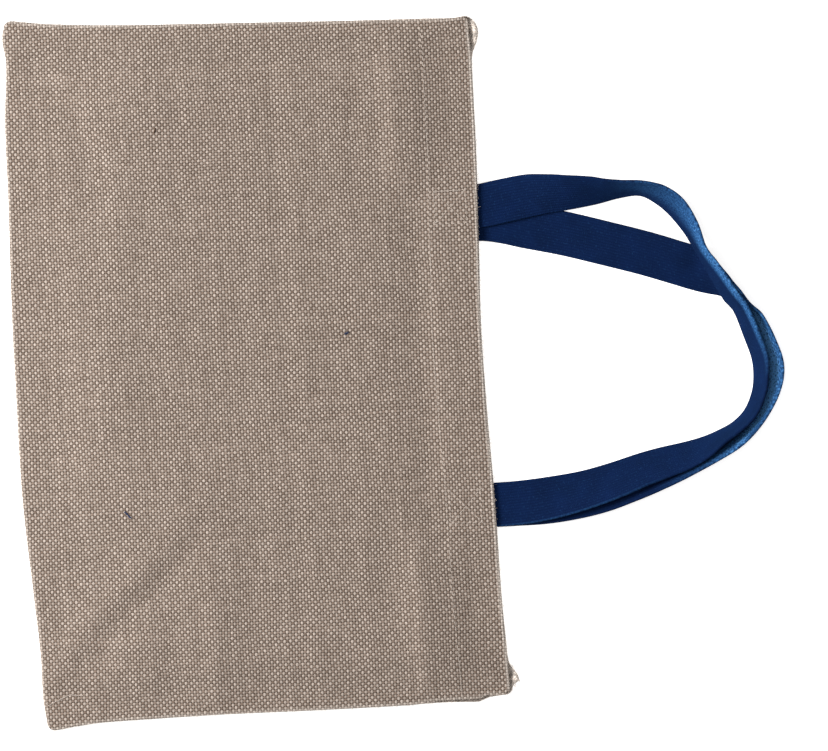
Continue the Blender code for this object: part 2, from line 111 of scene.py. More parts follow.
# The webbing's weave: its ribs, its picks' spacing, shape and shade, and its relief.
RIB_PITCH = 1.58
RIB_DEPTH = 0.08
PICK_PITCH = 1.25
PICK_SHAPE = (1.7, 1.9, 0.0)
PICK_SHADE = 0.8
WEBBING_RELIEF = 0.12

# The yarns' tones: the least, and how much each yarn's own, its slubs and patches add.
LEAST_TONE = 0.82
OWN_TONE = 0.20
SLUB_TONE = 0.12
PATCH_TONE = 0.04
PATCH_SIZE = 55.0

# The webbing's dye: its faded patches and its nap with its flecks. Its painted sheen: how the
# nap spreads it, and how much of it turns to the palest painted sheen.
FADE_SIZE = 14.0
NAP_SIZE = 1.2
NAP_SHEEN_SPREAD = (0.1, 1.9)
FLECK_FROM = (0.58, 0.76)
MOST_FLECK = 0.16
BRIGHTEST_SHEEN_FROM = (0.9, 2.0)
MOST_BRIGHTEST_SHEEN = 0.9

# Stretches in which most of a soft noise lies.
MOST_NOISE = (0.3, 0.7)
NEARLY_ALL_NOISE = (0.25, 0.75)
MID_CELL = (0.5, 0.5, 0.0)

# Colours: two tones of each fibre, the gaps between the yarns, the rims painted pale for rubbing
# and as painted light, and the webbing's painted sheen.
COTTON = ("#9B8E83", "#AFA297")
JUTE = ("#6F5E52", "#837266")
GAP = "#45382F"
WORN_AND_LIT_YARN = "#E9DED3"
WORN_AND_LIT_GAP = "#B9AB9E"
MOST_PALE = 0.85
CLOTH_SHEEN = "#F4E6D8"
NAVY = ("#0D1A35", "#11244C")
PAINTED_SHEEN_NAVY = "#35659A"
BRIGHTEST_SHEEN_NAVY = "#6CAFF2"
SEWING_COTTON = ("#A3968B", "#BEB2A7")
LOOSE_YARN = ("#C6B5A6", "#F1E7DC")
NAVY_LINT = ("#141C33", "#2B3A5E")
DARK_JUTE = ("#4A382B", "#6A5544")
FLOOR_WHITE = ("#F3F2F0", "#F6F5F3")
ROOM_WHITE = "#FBFCFF"

EdgeRow = namedtuple("EdgeRow", "along out")
FoldRow = namedtuple("FoldRow", "x y rise")
Fold = namedtuple("Fold", "name width rows")
RouteRow = namedtuple("RouteRow", "x y lift lean cup", defaults=[0])
PaintedSheenRow = namedtuple("PaintedSheenRow", "along start amount end", defaults=[1.2])
Outline = namedtuple("Outline", "near far bottom mouth")
LooseYarn = namedtuple("LooseYarn", "name fibre thickness wobble places")
FrayedEnd = namedtuple("FrayedEnd", "x y z turn curl length")


def table(kind, *rows):
    """Rows of a table, with its columns named."""
    return [kind(*row) for row in rows]


# Outline of the bag. Near and far sides give y along x, the others x along y.
NEAR_SIDE = table(
    EdgeRow, (-131, -201.0), (-116, -198.8), (-101, -197.3), (-80, -196.8), (-29, -196.2),
    (28, -196.6), (71, -196.5), (94, -196.0), (110, -196.4), (117.5, -196.5), (121.5, -194.6),
    (129, -193.6), (135, -193.4))
FAR_SIDE = table(
    EdgeRow, (-135, 209.0), (-124, 207.3), (-109, 205.4), (-80, 203.3), (-37, 201.6), (20, 199.8),
    (63, 198.4), (106, 197.4), (124, 197.0), (132, 198.6))
BOTTOM_SEAM = table(
    EdgeRow, (-201, -131.0), (-182, -133.2), (-159, -133.3), (-125, -135.4), (-67, -139.2),
    (-9, -139.7), (48, -139.6), (106, -138.3), (150, -137.9), (184, -135.5), (198, -137.0),
    (209, -134.8))
MOUTH = table(
    EdgeRow, (-194, 135.4), (-165, 134.3), (-139, 133.0), (-81, 132.0), (-24, 130.0), (20, 129.3),
    (63, 130.4), (132, 131.8), (172, 131.8), (197, 131.0))

# How far the under panel's mouth shows past the upper one, with its hem's corners turned out.
MOUTH_PEEK = table(
    EdgeRow, (-194, 0.8), (-190, 1.4), (-187, 2.6), (-184.5, 6.0), (-180.5, 3.6), (-176, 1.0),
    (-171, BACK_PEEK), (170, BACK_PEEK), (177, 1.2), (184, 4.4), (191, 5.0), (197, 1.0))

# How high those corners are turned up, and over what length.
CORNER_TURN_UP = 3.5
CORNER_TURN_RUN = 2.5

# How far the upper panel's near side draws in from the seam by the mouth.
NEAR_DRAW = table(
    EdgeRow, (80, 0.0), (98, 1.2), (120, 1.6), (127, 0.4), (135, 0.0))

# Height of the upper panel along the mouth.
MOUTH_HEIGHT = table(
    EdgeRow, (-197, SEAM_TOP), (-152, 8.7), (-108, 10.0), (-62, 10.0), (-38, 11.0), (0, 11.4),
    (36, 11.0), (60, 10.0), (108, 10.0), (152, 8.7), (197, SEAM_TOP))

# Soft ridges (rise above 0) and troughs (below 0) in the upper panel: name, width, and
# places and rises along the fold.
FOLDS = [Fold(name, width, table(FoldRow, *rows)) for name, width, *rows in [
    ("ridge before the hem, its crest, far half", 5.0,
     (83, 192, 0.6), (84, 150, 0.9), (85, 116, 0.8), (86, 98, 0.0)),
    ("ridge before the hem, far half", 8.0,
     (87, 196, 1.2), (88, 150, 1.5), (89, 116, 1.3), (90, 100, 0.4), (90, 90, 0.0)),
    ("ridge's slope to the hem, far half", 9.0,
     (96, 196, 1.4), (97, 150, 1.9), (98, 112, 1.4), (98, 96, 0.0)),
    ("ridge before the hem, its crest, near half", 5.0,
     (86, -98, 0.0), (86, -108, 0.9), (85.5, -145, 1.3), (86, -186, 0.9)),
    ("ridge before the hem, near half", 9.0,
     (90, -92, 0.0), (90, -106, 1.2), (90, -145, 2.0), (91, -192, 1.6)),
    ("ridge's slope to the hem, near half", 12.0,
     (100, -100, 0.2), (101, -120, 1.4), (101, -150, 2.0), (102, -192, 1.4)),
    ("hollow before the hem", 13.0,
     (98, 104, -0.3), (94, 60, -1.2), (92, 15, -1.8), (92, -20, -1.7), (94, -55, -1.4),
     (96, -92, -0.6)),
    ("trough at the hem's inner edge", 4.5,
     (98, 70, -0.3), (97.5, 10, -0.4), (97.5, -30, -0.5), (97.5, -60, -0.6), (98, -88, -0.4)),
    ("hollow before the ridge", 7.0,
     (70, -84, -0.5), (69, -105, -1.1), (68, -130, -0.8), (67, -160, -0.2)),
    ("corner crease, its ridge", 8.5,
     (-126, -168, 0.6), (-114, -152, 1.3), (-99, -136, 1.6), (-81, -120, 1.6), (-63, -104, 1.3),
     (-46, -86, 0.9), (-30, -62, 0.5), (-14, -28, 0.0)),
    ("corner crease, its trough", 9.0,
     (-118, -182, -0.5), (-101, -157, -1.2), (-85, -139, -1.3), (-67, -123, -1.3),
     (-49, -106, -1.0), (-34, -88, -0.4), (-20, -66, 0.0)),
    ("soft ridge by the near side", 10.0,
     (-31, -96, 0.2), (-31, -126, 1.2), (-33, -186, 1.3)),
    ("hollow by the near side", 12.0,
     (-57, -146, -0.5), (-56, -164, -1.2), (-55, -182, -0.9)),
    ("swell by the bottom seam", 15.0,
     (-96, 70, 0.2), (-92, 35, 1.4), (-92, -20, 1.8), (-96, -60, 0.7)),
    ("swell above the corner crease", 11.0,
     (-62, -40, 0.3), (-57, -68, 1.1), (-56, -84, 0.4)),
    ("far corner crease", 8.0,
     (-128, 196, -0.4), (-105, 161, -0.9), (-93, 132, -0.9), (-88, 103, -0.7), (-90, 57, -0.2)),
    ("far corner swell", 13.0,
     (-60, 186, 0.9), (-58, 150, 0.9), (-58, 105, 0.4)),
    ("long hollow on the far half", 14.0,
     (20, 172, -0.3), (20, 140, -0.6), (18, 95, -0.6), (16, 50, -0.2)),
    ("narrow hollow on the far half", 6.0,
     (61, 192, -0.5), (62, 140, -0.6), (61, 100, -0.2)),
    ("bump near the far side", 10.0,
     (-34, 184, 0.7), (-28, 174, 0.3)),
]]

# Small unevenness of slack cloth: the size of its lumps, and how high they are.
LUMP_SIZES = ((46.0, 0.40), (19.0, 0.12), (8.0, 0.04))
LUMP_FADE = 12.0

# The handles' routes from the far end to the near end, by the edge inside the loop.
FRONT_ROUTE = table(
    RouteRow, (149, 77.9, 4.2, 3), (163, 80.2, 2.9, 14), (173, 81.7, 2.6, 29),
    (184, 82.7, 2.5, 39), (201, 85.2, 1.3, 54), (213, 87.9, 0.6, 68), (224, 88.8, 0.3, 73),
    (231.6, 84.8, 0.6, 67), (240, 77.4, 2.2, 65), (248, 67.0, 5.0, 71), (255, 54.0, 7.2, 79),
    (260, 43.5, 8.1, 75), (265.4, 33.0, 8.0, 73), (270.2, 25.1, 6.4, 73), (275, 18.6, 4.0, 74),
    (280, 3.8, 0.6, 72), (283.5, -8.0, 0.1, 72), (284, -18.0, 0.1, 74), (282.5, -27.0, 0.1, 75),
    (278, -36.5, 0.1, 76), (271, -43.2, 0.1, 77), (262, -47.6, 0.1, 73), (252, -51.0, 0.1, 62),
    (242, -53.2, 0.1, 53), (228, -55.6, 0.2, 46), (215, -58.5, 0.4, 42), (199, -62.9, 0.9, 36),
    (182, -66.7, 1.6, 29), (163, -69.2, 2.7, 16), (146, -70.7, 3.9, 5))
BACK_ROUTE = table(
    RouteRow, (143, 66.0, 1.9, 0), (154, 63.0, 0.8, 0), (177, 57.4, 0.1, 0), (199, 50.9, 0.1, 2),
    (222, 43.8, 0.1, 4), (239, 37.8, 0.2, 8), (251, 33.5, 0.5, 10, 20), (260, 30.5, 0.5, 37, 70),
    (268, 28.1, 0.45, 62, 50), (274, 25.4, 0.4, 75, 24), (278.6, 20.8, 0.25, 79, 8),
    (281.2, 15.0, 0.1, 71), (283, 8.0, 0.1, 66), (285.6, -2.5, 0.1, 62), (287.8, -12.0, 0.1, 60.5),
    (287.6, -19.5, 0.1, 62), (285, -29.0, 0.1, 66), (279, -39.5, 0.1, 69), (269.5, -47.4, 0.1, 66),
    (257.5, -52.4, 0.1, 61), (239, -56.8, 0.1, 48), (221, -60.8, 0.1, 36), (206, -64.6, 0.1, 29),
    (191, -67.9, 0.1, 21), (176, -70.0, 0.1, 14), (160, -71.2, 0.7, 6), (146, -71.4, 1.8, 0))

# Where the webbing is painted lighter towards its outer edge, a painted sheen for the light on its
# steep raised parts and painted light in the back strap's shaded band: how far along the handle,
# from what share of its width on, how much, and from what share on its selvedge it gets less.
FRONT_PAINTED_SHEEN = table(
    PaintedSheenRow, (0, 0.3, 0.0), (105, 0.3, 0.0), (115, 0.2, 0.15), (125, 0.1, 0.3), (140, 0.1, 0.4),
    (156, 0.15, 0.6), (168, 0.25, 0.75), (182, 0.4, 0.8), (195, 0.55, 0.8), (210, 0.65, 0.75),
    (228, 0.7, 0.65), (245, 0.75, 0.3), (260, 0.85, 0.0), (338, 0.95, 0.0), (352, 0.95, 0.1),
    (385, 0.95, 0.2), (470, 0.95, 0.2))
BACK_PAINTED_SHEEN = table(
    PaintedSheenRow, (0, 0.4, 0.0), (168, 0.4, 0.0), (179, 0.3, 0.5), (191, 0.2, 1.1, 0.8),
    (203, 0.0, 2.0, 0.72), (215, -0.1, 2.4, 0.72), (251, -0.1, 2.4, 0.72), (263, 0.1, 1.8, 0.75),
    (275, 0.3, 1.2, 0.8), (287, 0.45, 0.8), (299, 0.6, 0.4), (311, 0.7, 0.2), (323, 0.8, 0.1),
    (335, 0.8, 0.0), (460, 0.8, 0.0))

# How much of the painted sheen the selvedge loses and over what share of the width that
# starts, how soon the painted sheen is full, and how much of it the other face has.
SELVEDGE_SHEEN_CUT = 0.7
SELVEDGE_FADE = 0.2
SHEEN_RISE = 1.6
UNDER_FACE_SHEEN = 0.3

# Where the inner edge of each handle's ends lies, and where the ends come out of the bag.
FRONT_ENDS = {"far": 75.4, "near": -71.2}
BACK_ENDS = {"far": 67.9, "near": -71.4}
END_X = 131.0

# Sewing: a hem line, and a box with a cross in it over each handle end.
STITCH_PITCH = 3.4
STITCH_LENGTH = 2.7
SEWING_THREAD = 0.42
HEM_LINE = 2.0
HEM_LINE_INSET = 5.0
HEM_EDGE = 100.0
SEAM_SPACING = 2.0
BOX_MARGIN = 3.2
BOX_LENGTH = 18.0

# How far a stitch strays and is lifted, and how its thread's middle and ends lie, in threads.
STITCH_STRAY = 0.12 * MM
STITCH_LIFT = 0.08 * MM
STITCH_RISE = 0.9
STITCH_DIP = -0.7

# Its thread on the under panel is pressed into the cloth by the bag's weight.
UNDER_THREAD = 0.2

# Least place of a thread or fibre, in metres: anywhere across, and just on the surface.
LOWEST = (-9.0, -9.0, 0.02 * MM)

# Fuzz on the folded edges: hairs to the square metre, their size, and how far they tilt.
RIM_FIBRES = 300_000
FUZZ_LENGTH = 2.4
FUZZ_THICKNESS = 0.09
HAIR_TILT = 0.7
HAIR_SHAPE = {"Start": (0.0, 0.0, -0.1), "Middle": (0.1, 0.0, 0.45), "End": (0.75, 0.2, 0.5)}
HAIR_LENGTHS = (0.4, 1.0)

# Spun yarn: its plies, its waves and its lumps, and its least and most share of thickness.
PLY_SIZE = 0.5
PLY_RELIEF = 0.08
PLY_STRENGTH = 0.8
YARN_STEP = 0.5
WAVE_SIZE = 2.5
LUMP_SIZE = 1.1
YARN_RADIUS = (0.3, 0.65)

# Loose ends: how high they lie on the cloth, in thicknesses, and how the frayed ones sag.
LOOSE_LIFT = 0.4
LOOSE_SPACING = 0.8
FRAY_THICKNESS = 0.35
FRAY_WOBBLE = 0.5
FRAY_STEPS = 5
FRAY_SAG = 0.35
FRAY_LOWEST = 0.3

# How far the cloth is painted pale on its folded edges, partly for rubbing and partly as painted
# light that lifts their shade, and over what length past the mouth.
WEAR_AND_LIGHT_REACH = 1.1
TURNED_OUT_RUN = 1.2
MOUTH_WEAR_AND_LIGHT = 0.6
BOTTOM_WEAR_AND_LIGHT = 0.2
SIDE_WEAR_AND_LIGHT = 0.3

# Bits that lie on the upper panel.
LOOSE_YARNS = [
    LooseYarn("loose_end_by_the_corner", "cotton", 0.5, 0.9,
              [(-131, -186), (-127, -184.2), (-122, -182), (-118, -180), (-114, -180.6),
               (-110, -181)]),
    LooseYarn("slub", "dark", 0.9, 0.5, [(-52.6, 139.4), (-52, 141), (-51.6, 142.4)]),
    LooseYarn("navy_lint", "navy", 1.0, 0.9,
              [(-80.6, -76.6), (-79.6, -77.8), (-78.6, -79.0), (-77.6, -80.4), (-77.0, -80.2)]),
    LooseYarn("navy_speck", "navy", 1.3, 0.2, [(50.8, 18.6), (53.0, 19.4)]),
]

# Yarn ends at the corners: root, direction in degrees, how far it curls, and length.
FRAYED_ENDS = table(
    FrayedEnd, (136.5, -178.5, 2.2, -20, -25, 3.4), (137.2, -180.4, 2.3, -32, -20, 4.6),
    (137.8, -182.0, 2.4, -15, -40, 5.2), (137.6, -183.4, 2.0, -48, 15, 4.2),
    (137.0, -185.2, 2.2, -38, -30, 3.6), (136.8, -187.0, 2.0, -70, 20, 3.0),
    (136.0, -176.4, 2.4, 12, -60, 2.4), (135.4, -189.0, 2.3, -20, -45, 2.4),
    (-132.0, -168.0, 3.5, 172, 30, 3.2), (-132.4, -169.8, 3.2, 190, -35, 4.2),
    (-132.0, -170.9, 3.4, 205, 25, 3.0), (-132.2, -166.4, 3.0, 158, -20, 2.4))

# Light: how bright the room is, and each soft light's place (m), width (m) and power (W).
WORLD_LIGHT = 0.28
SOFT_LIGHTS = [("window at the left", (-1.25, 0.3, 1.2), 0.9, 46.0),
               ("ceiling", (0.0, 0.0, 1.7), 0.8, 6.5)]
FLOOR_GLOW = 0.8
FLOOR = 7000.0
FLOOR_Z = -0.25

# The view: straight down, as wide as the photo's frame, turned as the bag lies in it.
PHOTO_WIDTH = 475.9
PHOTO_CENTRE = (89.4, -7.3)
PHOTO_TURN = -3.0
CAMERA_HEIGHT = 5000.0
SENSOR = 36.0


# ---- curves through tables

def smooth_step(t):
    t = np.clip(t, 0.0, 1.0)
    return t * t * (3 - 2 * t)


def mix(a, b, t):
    return a + (b - a) * t


def smooth_through(places, values, at):
    """Smooth curve through a table. A stretch between two equal values stays straight."""
    places, values = np.asarray(places, float), np.asarray(values, float)
    rises, spans = np.diff(values), np.diff(places)
    slopes = np.empty_like(values)
    slopes[0], slopes[-1] = rises[0] / spans[0], rises[-1] / spans[-1]
    slopes[1:-1] = (values[2:] - values[:-2]) / (places[2:] - places[:-2])
    slopes[1:-1][rises[1:] * rises[:-1] == 0] = 0.0
    at = np.clip(at, places[0], places[-1])
    k = np.clip(np.searchsorted(places, at, side="right") - 1, 0, len(spans) - 1)
    t = (at - places[k]) / spans[k]
    start, end = slopes[k] * spans[k], slopes[k + 1] * spans[k]
    return values[k] + t * (start + t * (3 * rises[k] - 2 * start - end
                                         + t * (start + end - 2 * rises[k])))


def edge_value(rows, at):
    return smooth_through([row.along for row in rows], [row.out for row in rows], at)


def soft_noise(x, y, size, seed):
    """Smooth noise from -1 to 1, with lumps about as wide as size."""
    values = [noise.noise(Vector((a / size, b / size, seed))) for a, b in zip(x.flat, y.flat)]
    return np.array(values).reshape(x.shape)


# ---- the bag's surface

def bag_point(outline, u, v):
    """Point at share u from the bottom seam to the mouth and v from near to far side."""
    x = mix(-BODY_LENGTH / 2, BODY_LENGTH / 2, u)
    for _ in range(OUTLINE_PASSES):
        y = mix(edge_value(outline.near, x), edge_value(outline.far, x), v)
        x = mix(edge_value(outline.bottom, y), edge_value(outline.mouth, y), u)
    return x, y


def mouth_height(y):
    """Height of the upper panel at the mouth, level at each row of its table."""
    places = np.array([row.along for row in MOUTH_HEIGHT], float)
    heights = np.array([row.out for row in MOUTH_HEIGHT], float)
    y = np.clip(y, places[0], places[-1])
    k = np.clip(np.searchsorted(places, y, side="right") - 1, 0, len(places) - 2)
    share = (y - places[k]) / (places[k + 1] - places[k])
    return mix(heights[k], heights[k + 1], smooth_step(share))


def fold_height(x, y):
    """Sum of the folds' ridges and troughs."""
    total = np.zeros_like(x)
    for fold in FOLDS:
        nearest, rise = np.full_like(x, np.inf), np.zeros_like(x)
        for a, b in zip(fold.rows, fold.rows[1:]):
            dx, dy = b.x - a.x, b.y - a.y
            along = np.clip(((x - a.x) * dx + (y - a.y) * dy) / (dx * dx + dy * dy), 0, 1)
            distance = np.hypot(x - a.x - along * dx, y - a.y - along * dy)
            closer = distance < nearest
            rise = np.where(closer, mix(a.rise, b.rise, along), rise)
            nearest = np.where(closer, distance, nearest)
        total += rise * np.exp(-(nearest / fold.width) ** 2)
    return total


def over_handle_ends(x, y):
    """1 over the sewn-in handle ends, falling softly to 0 round them."""
    past_x = np.maximum(END_X - SEWN_IN - ANCHOR_MARGIN - x, 0.0)
    reach = np.zeros_like(x)
    for ends in (FRONT_ENDS, BACK_ENDS):
        far, near = ends["far"], ends["near"]
        past_far = np.maximum(np.maximum(far - y, y - far - WEB_WIDTH), 0.0)
        past_near = np.maximum(np.maximum(near - WEB_WIDTH - y, y - near), 0.0)
        past_y = np.maximum(np.minimum(past_far, past_near) - ANCHOR_MARGIN, 0.0)
        reach = np.maximum(reach, smooth_step(1 - np.hypot(past_x, past_y) / ANCHOR_FADE))
    return reach


def upper_height(x, y):
    """Height of the upper panel's right side above the surface."""
    side = np.minimum(y - edge_value(NEAR_SIDE, x), edge_value(FAR_SIDE, x) - y)
    from_bottom = x - edge_value(BOTTOM_SEAM, y)
    to_mouth = edge_value(MOUTH, y) - x
    body = mix(SEAM_TOP, CROWN, smooth_step(side / SIDE_RISE))
    top = mix(mouth_height(y), body, smooth_step(to_mouth / MOUTH_BLEND))
    top = mix(SEAM_TOP, top, smooth_step(from_bottom / BOTTOM_RISE))
    fade = smooth_step(side / FOLD_FADE) * smooth_step(from_bottom / FOLD_FADE)
    held_up = over_handle_ends(x, y)
    floor = mix(SEAM_TOP, ANCHOR_TOP + ANCHOR_SPARE, held_up)
    top = np.maximum(top + fold_height(x, y) * fade, floor)
    slack = smooth_step(side / LUMP_FADE) * smooth_step(from_bottom / LUMP_FADE)
    for seed, (size, rise) in enumerate(LUMP_SIZES):
        top = top + soft_noise(x, y, size, seed) * rise * slack * (1 - held_up)
    return np.maximum(top, SEAM_TOP)


def under_height(x, y):
    """The under panel lies flat on the surface, with its hem's corners turned up a little."""
    past_mouth = x - edge_value(MOUTH, y) - FOLD_RADIUS
    return CORNER_TURN_UP * smooth_step(past_mouth / CORNER_TURN_RUN)


# ---- mesh helpers

def mesh_object(name, points, faces, uv=None, values=None, material=None, edges=()):
    """A plain mesh object from points in millimetres, with its flat map and point values."""
    mesh = bpy.data.meshes.new(name)
    mesh.from_pydata((np.asarray(points) * MM).tolist(), list(edges), faces)
    if faces:
        work = bmesh.new()
        work.from_mesh(mesh)
        bmesh.ops.recalc_face_normals(work, faces=work.faces)
        work.to_mesh(mesh)
        work.free()
        mesh.shade_smooth()
    if uv is not None:
        corner = np.empty(len(mesh.loops), int)
        mesh.loops.foreach_get("vertex_index", corner)
        flat = (np.asarray(uv) * MM)[corner]
        mesh.uv_layers.new(name="flat cloth").data.foreach_set("uv", flat.ravel())
    for key, value in (values or {}).items():
        layer = mesh.attributes.new(key, "FLOAT", "POINT")
        layer.data.foreach_set("value", np.asarray(value, np.float32))
    if material:
        mesh.materials.append(material)
    made = bpy.data.objects.new(name, mesh)
    bpy.context.scene.collection.objects.link(made)
    return made


def ring(i0, i1, j0, j1):
    """Row and column numbers once round a rectangle of a grid."""
    tall, wide = i1 - i0, j1 - j0
    return (np.concatenate([np.arange(i0, i1), np.full(wide, i1), np.arange(i1, i0, -1),
                            np.full(wide, i0)]),
            np.concatenate([np.full(tall, j0), np.arange(j0, j1), np.full(tall, j1),
                            np.arange(j1, j0, -1)]))


def bands(rows, closed):
    """Quads between neighbouring rows of point numbers."""
    faces = []
    for a, b in zip(rows, rows[1:]):
        count = len(a) if closed else len(a) - 1
        for k in range(count):
            n = (k + 1) % len(a)
            faces.append((int(a[k]), int(a[n]), int(b[n]), int(b[k])))
    return faces


# ---- cloth panels

def lines_between(marks, spacing):
    """Grid lines through every mark, with each stretch between marks divided evenly."""
    lines = []
    for start, end in zip(marks, marks[1:]):
        steps = max(1, round((end - start) / spacing))
        lines.extend(np.linspace(start, end, steps, endpoint=False))
    return np.array(lines + [marks[-1]])


def round_corners(u, v):
    """Draws a flat panel's square corners in to round ones."""
    from_u = np.minimum(u, BODY_LENGTH - u) - FOLD_RADIUS
    from_v = np.minimum(v, BODY_WIDTH - v) - FOLD_RADIUS
    a = np.clip(1 - from_u / CORNER_RADIUS, 0, 1)
    b = np.clip(1 - from_v / CORNER_RADIUS, 0, 1)
    u_in = CORNER_RADIUS * a * (1 - np.sqrt(1 - b * b / 2))
    v_in = CORNER_RADIUS * b * (1 - np.sqrt(1 - a * a / 2))
    return (u + u_in * np.sign(BODY_LENGTH / 2 - u), v + v_in * np.sign(BODY_WIDTH / 2 - v))


def cloth_panel(name, outline, height, up, material):
    """One panel with its allowances and its hem folded to its wrong side.

    up is -1 where the folded layers lie under the cloth and 1 where they lie on top of it.
    Its flat map runs with the yarns, round the folds too. Its value "edge" says how far it
    is painted pale: rubbing, and painted light that lifts the shade on its rims and turned-out
    corners. The guide that comes with it is the curl round its rim.
    """
    far_marks = [BODY_WIDTH - mark for mark in reversed(CORNER_MARKS)]
    mouth_marks = [BODY_LENGTH - HEM] + [BODY_LENGTH - mark for mark in reversed(CORNER_MARKS)]
    u_lines = lines_between(list(CORNER_MARKS) + mouth_marks, CLOTH_GRID)
    v_lines = lines_between(list(CORNER_MARKS) + far_marks, CLOTH_GRID)
    u, v = round_corners(*np.meshgrid(u_lines, v_lines, indexing="ij"))
    x, y = bag_point(outline, u / BODY_LENGTH, v / BODY_WIDTH)
    z = height(x, y)

    # Which grid lines and cells the folded allowances and the hem cover.
    slip = 1e-6
    bottom, hem = u_lines < ALLOWANCE + slip, u_lines > BODY_LENGTH - HEM - slip
    near, far = v_lines < ALLOWANCE + slip, v_lines > BODY_WIDTH - ALLOWANCE - slip
    in_frame = (bottom | hem)[:, None] | (near | far)[None, :]
    in_cell = (((bottom[:-1] & bottom[1:]) | (hem[:-1] & hem[1:]))[:, None]
               | ((near[:-1] & near[1:]) | (far[:-1] & far[1:]))[None, :])

    # Flat map of the folded layers, measured on round the fold, and the paling of the rims for
    # rubbing and as painted light.
    round_the_fold = math.pi * FOLD_RADIUS
    folded_s = np.where(hem[:, None], 2 * x[-1:] - x + round_the_fold, x)
    folded_s = np.where(bottom[:, None], 2 * x[:1] - x - round_the_fold, folded_s)
    folded_t = np.where(far[None, :], 2 * y[:, -1:] - y + round_the_fold, y)
    folded_t = np.where(near[None, :], 2 * y[:, :1] - y - round_the_fold, folded_t)
    wear_and_light_sides = ((BODY_LENGTH - u, MOUTH_WEAR_AND_LIGHT), (u, BOTTOM_WEAR_AND_LIGHT),
             (np.minimum(v, BODY_WIDTH - v), SIDE_WEAR_AND_LIGHT))
    edge = np.maximum.reduce([wear_and_light * (1 - smooth_step(inset / WEAR_AND_LIGHT_REACH - 1))
                              for inset, wear_and_light in wear_and_light_sides])
    # The corners turned out past the mouth lie in the upper panel's shade and are painted pale:
    # painted light.
    turned_out = smooth_step((x - edge_value(MOUTH, y) - BACK_PEEK) / TURNED_OUT_RUN)
    edge = np.maximum(edge, turned_out)

    points, flat, worn_and_lit = [], [], []

    def add_points(px, py, pz, s, t, wear_and_light):
        """Adds a set of points and gives their numbers."""
        start = sum(len(part) for part in points)
        points.append(np.stack([px, py, pz], axis=-1))
        flat.append(np.stack([s, t], axis=-1))
        worn_and_lit.append(wear_and_light)
        return np.arange(start, start + len(px))

    def add_layer(mask, depth, s, t):
        number = np.full(mask.shape, -1)
        number[mask] = add_points(x[mask], y[mask], (z + up * depth)[mask], s[mask], t[mask],
                                  edge[mask])
        return number

    everywhere = np.ones_like(in_frame)
    right = add_layer(everywhere, 0.0, x, y)
    wrong = add_layer(everywhere, CLOTH, x, y)
    folded_wrong = add_layer(in_frame, CLOTH + LAYER_GAP, folded_s, folded_t)
    folded_right = add_layer(in_frame, FOLDED, folded_s, folded_t)

    # The curl round the rim, from the right side to the folded layer's.
    rim = ring(0, len(u_lines) - 1, 0, len(v_lines) - 1)
    run_x = np.roll(x[rim], -1) - np.roll(x[rim], 1)
    run_y = np.roll(y[rim], -1) - np.roll(y[rim], 1)
    out_x, out_y = run_y / np.hypot(run_x, run_y), -run_x / np.hypot(run_x, run_y)
    curl = [right[rim]]
    for step in range(1, CURL_STEPS):
        turn = math.pi * step / CURL_STEPS
        out, depth = FOLD_RADIUS * math.sin(turn), FOLD_RADIUS * (1 - math.cos(turn))
        travel = FOLD_RADIUS * turn
        curl.append(add_points(x[rim] + out * out_x, y[rim] + out * out_y,
                               z[rim] + up * depth, x[rim] + travel * out_x,
                               y[rim] + travel * out_y, edge[rim]))
    curl.append(folded_right[rim])

    def cells(number, mask):
        corners = [number[:-1, :-1], number[1:, :-1], number[1:, 1:], number[:-1, 1:]]
        return np.stack([corner[mask] for corner in corners], axis=1).tolist()

    every_cell = np.ones_like(in_cell)
    faces = cells(right, every_cell) + cells(wrong, every_cell)
    faces += cells(folded_wrong, in_cell) + cells(folded_right, in_cell)
    faces += bands(curl, closed=True)
    faces += bands([wrong[rim], folded_wrong[rim]], closed=True)
    inner = ring(int(bottom.sum()) - 1, int((~hem).sum()), int(near.sum()) - 1,
                 int((~far).sum()))
    faces += bands([folded_wrong[inner], folded_right[inner]], closed=True)

    points = np.concatenate(points)
    panel = mesh_object(name, points, faces, np.concatenate(flat),
                        {"edge": np.concatenate(worn_and_lit)}, material)
    curled = np.array(curl[1:-1])
    guide = mesh_object("rim guide", points[curled].reshape(-1, 3),
                        bands(np.arange(curled.size).reshape(curled.shape), closed=True))
    return panel, guide


# ---- handles

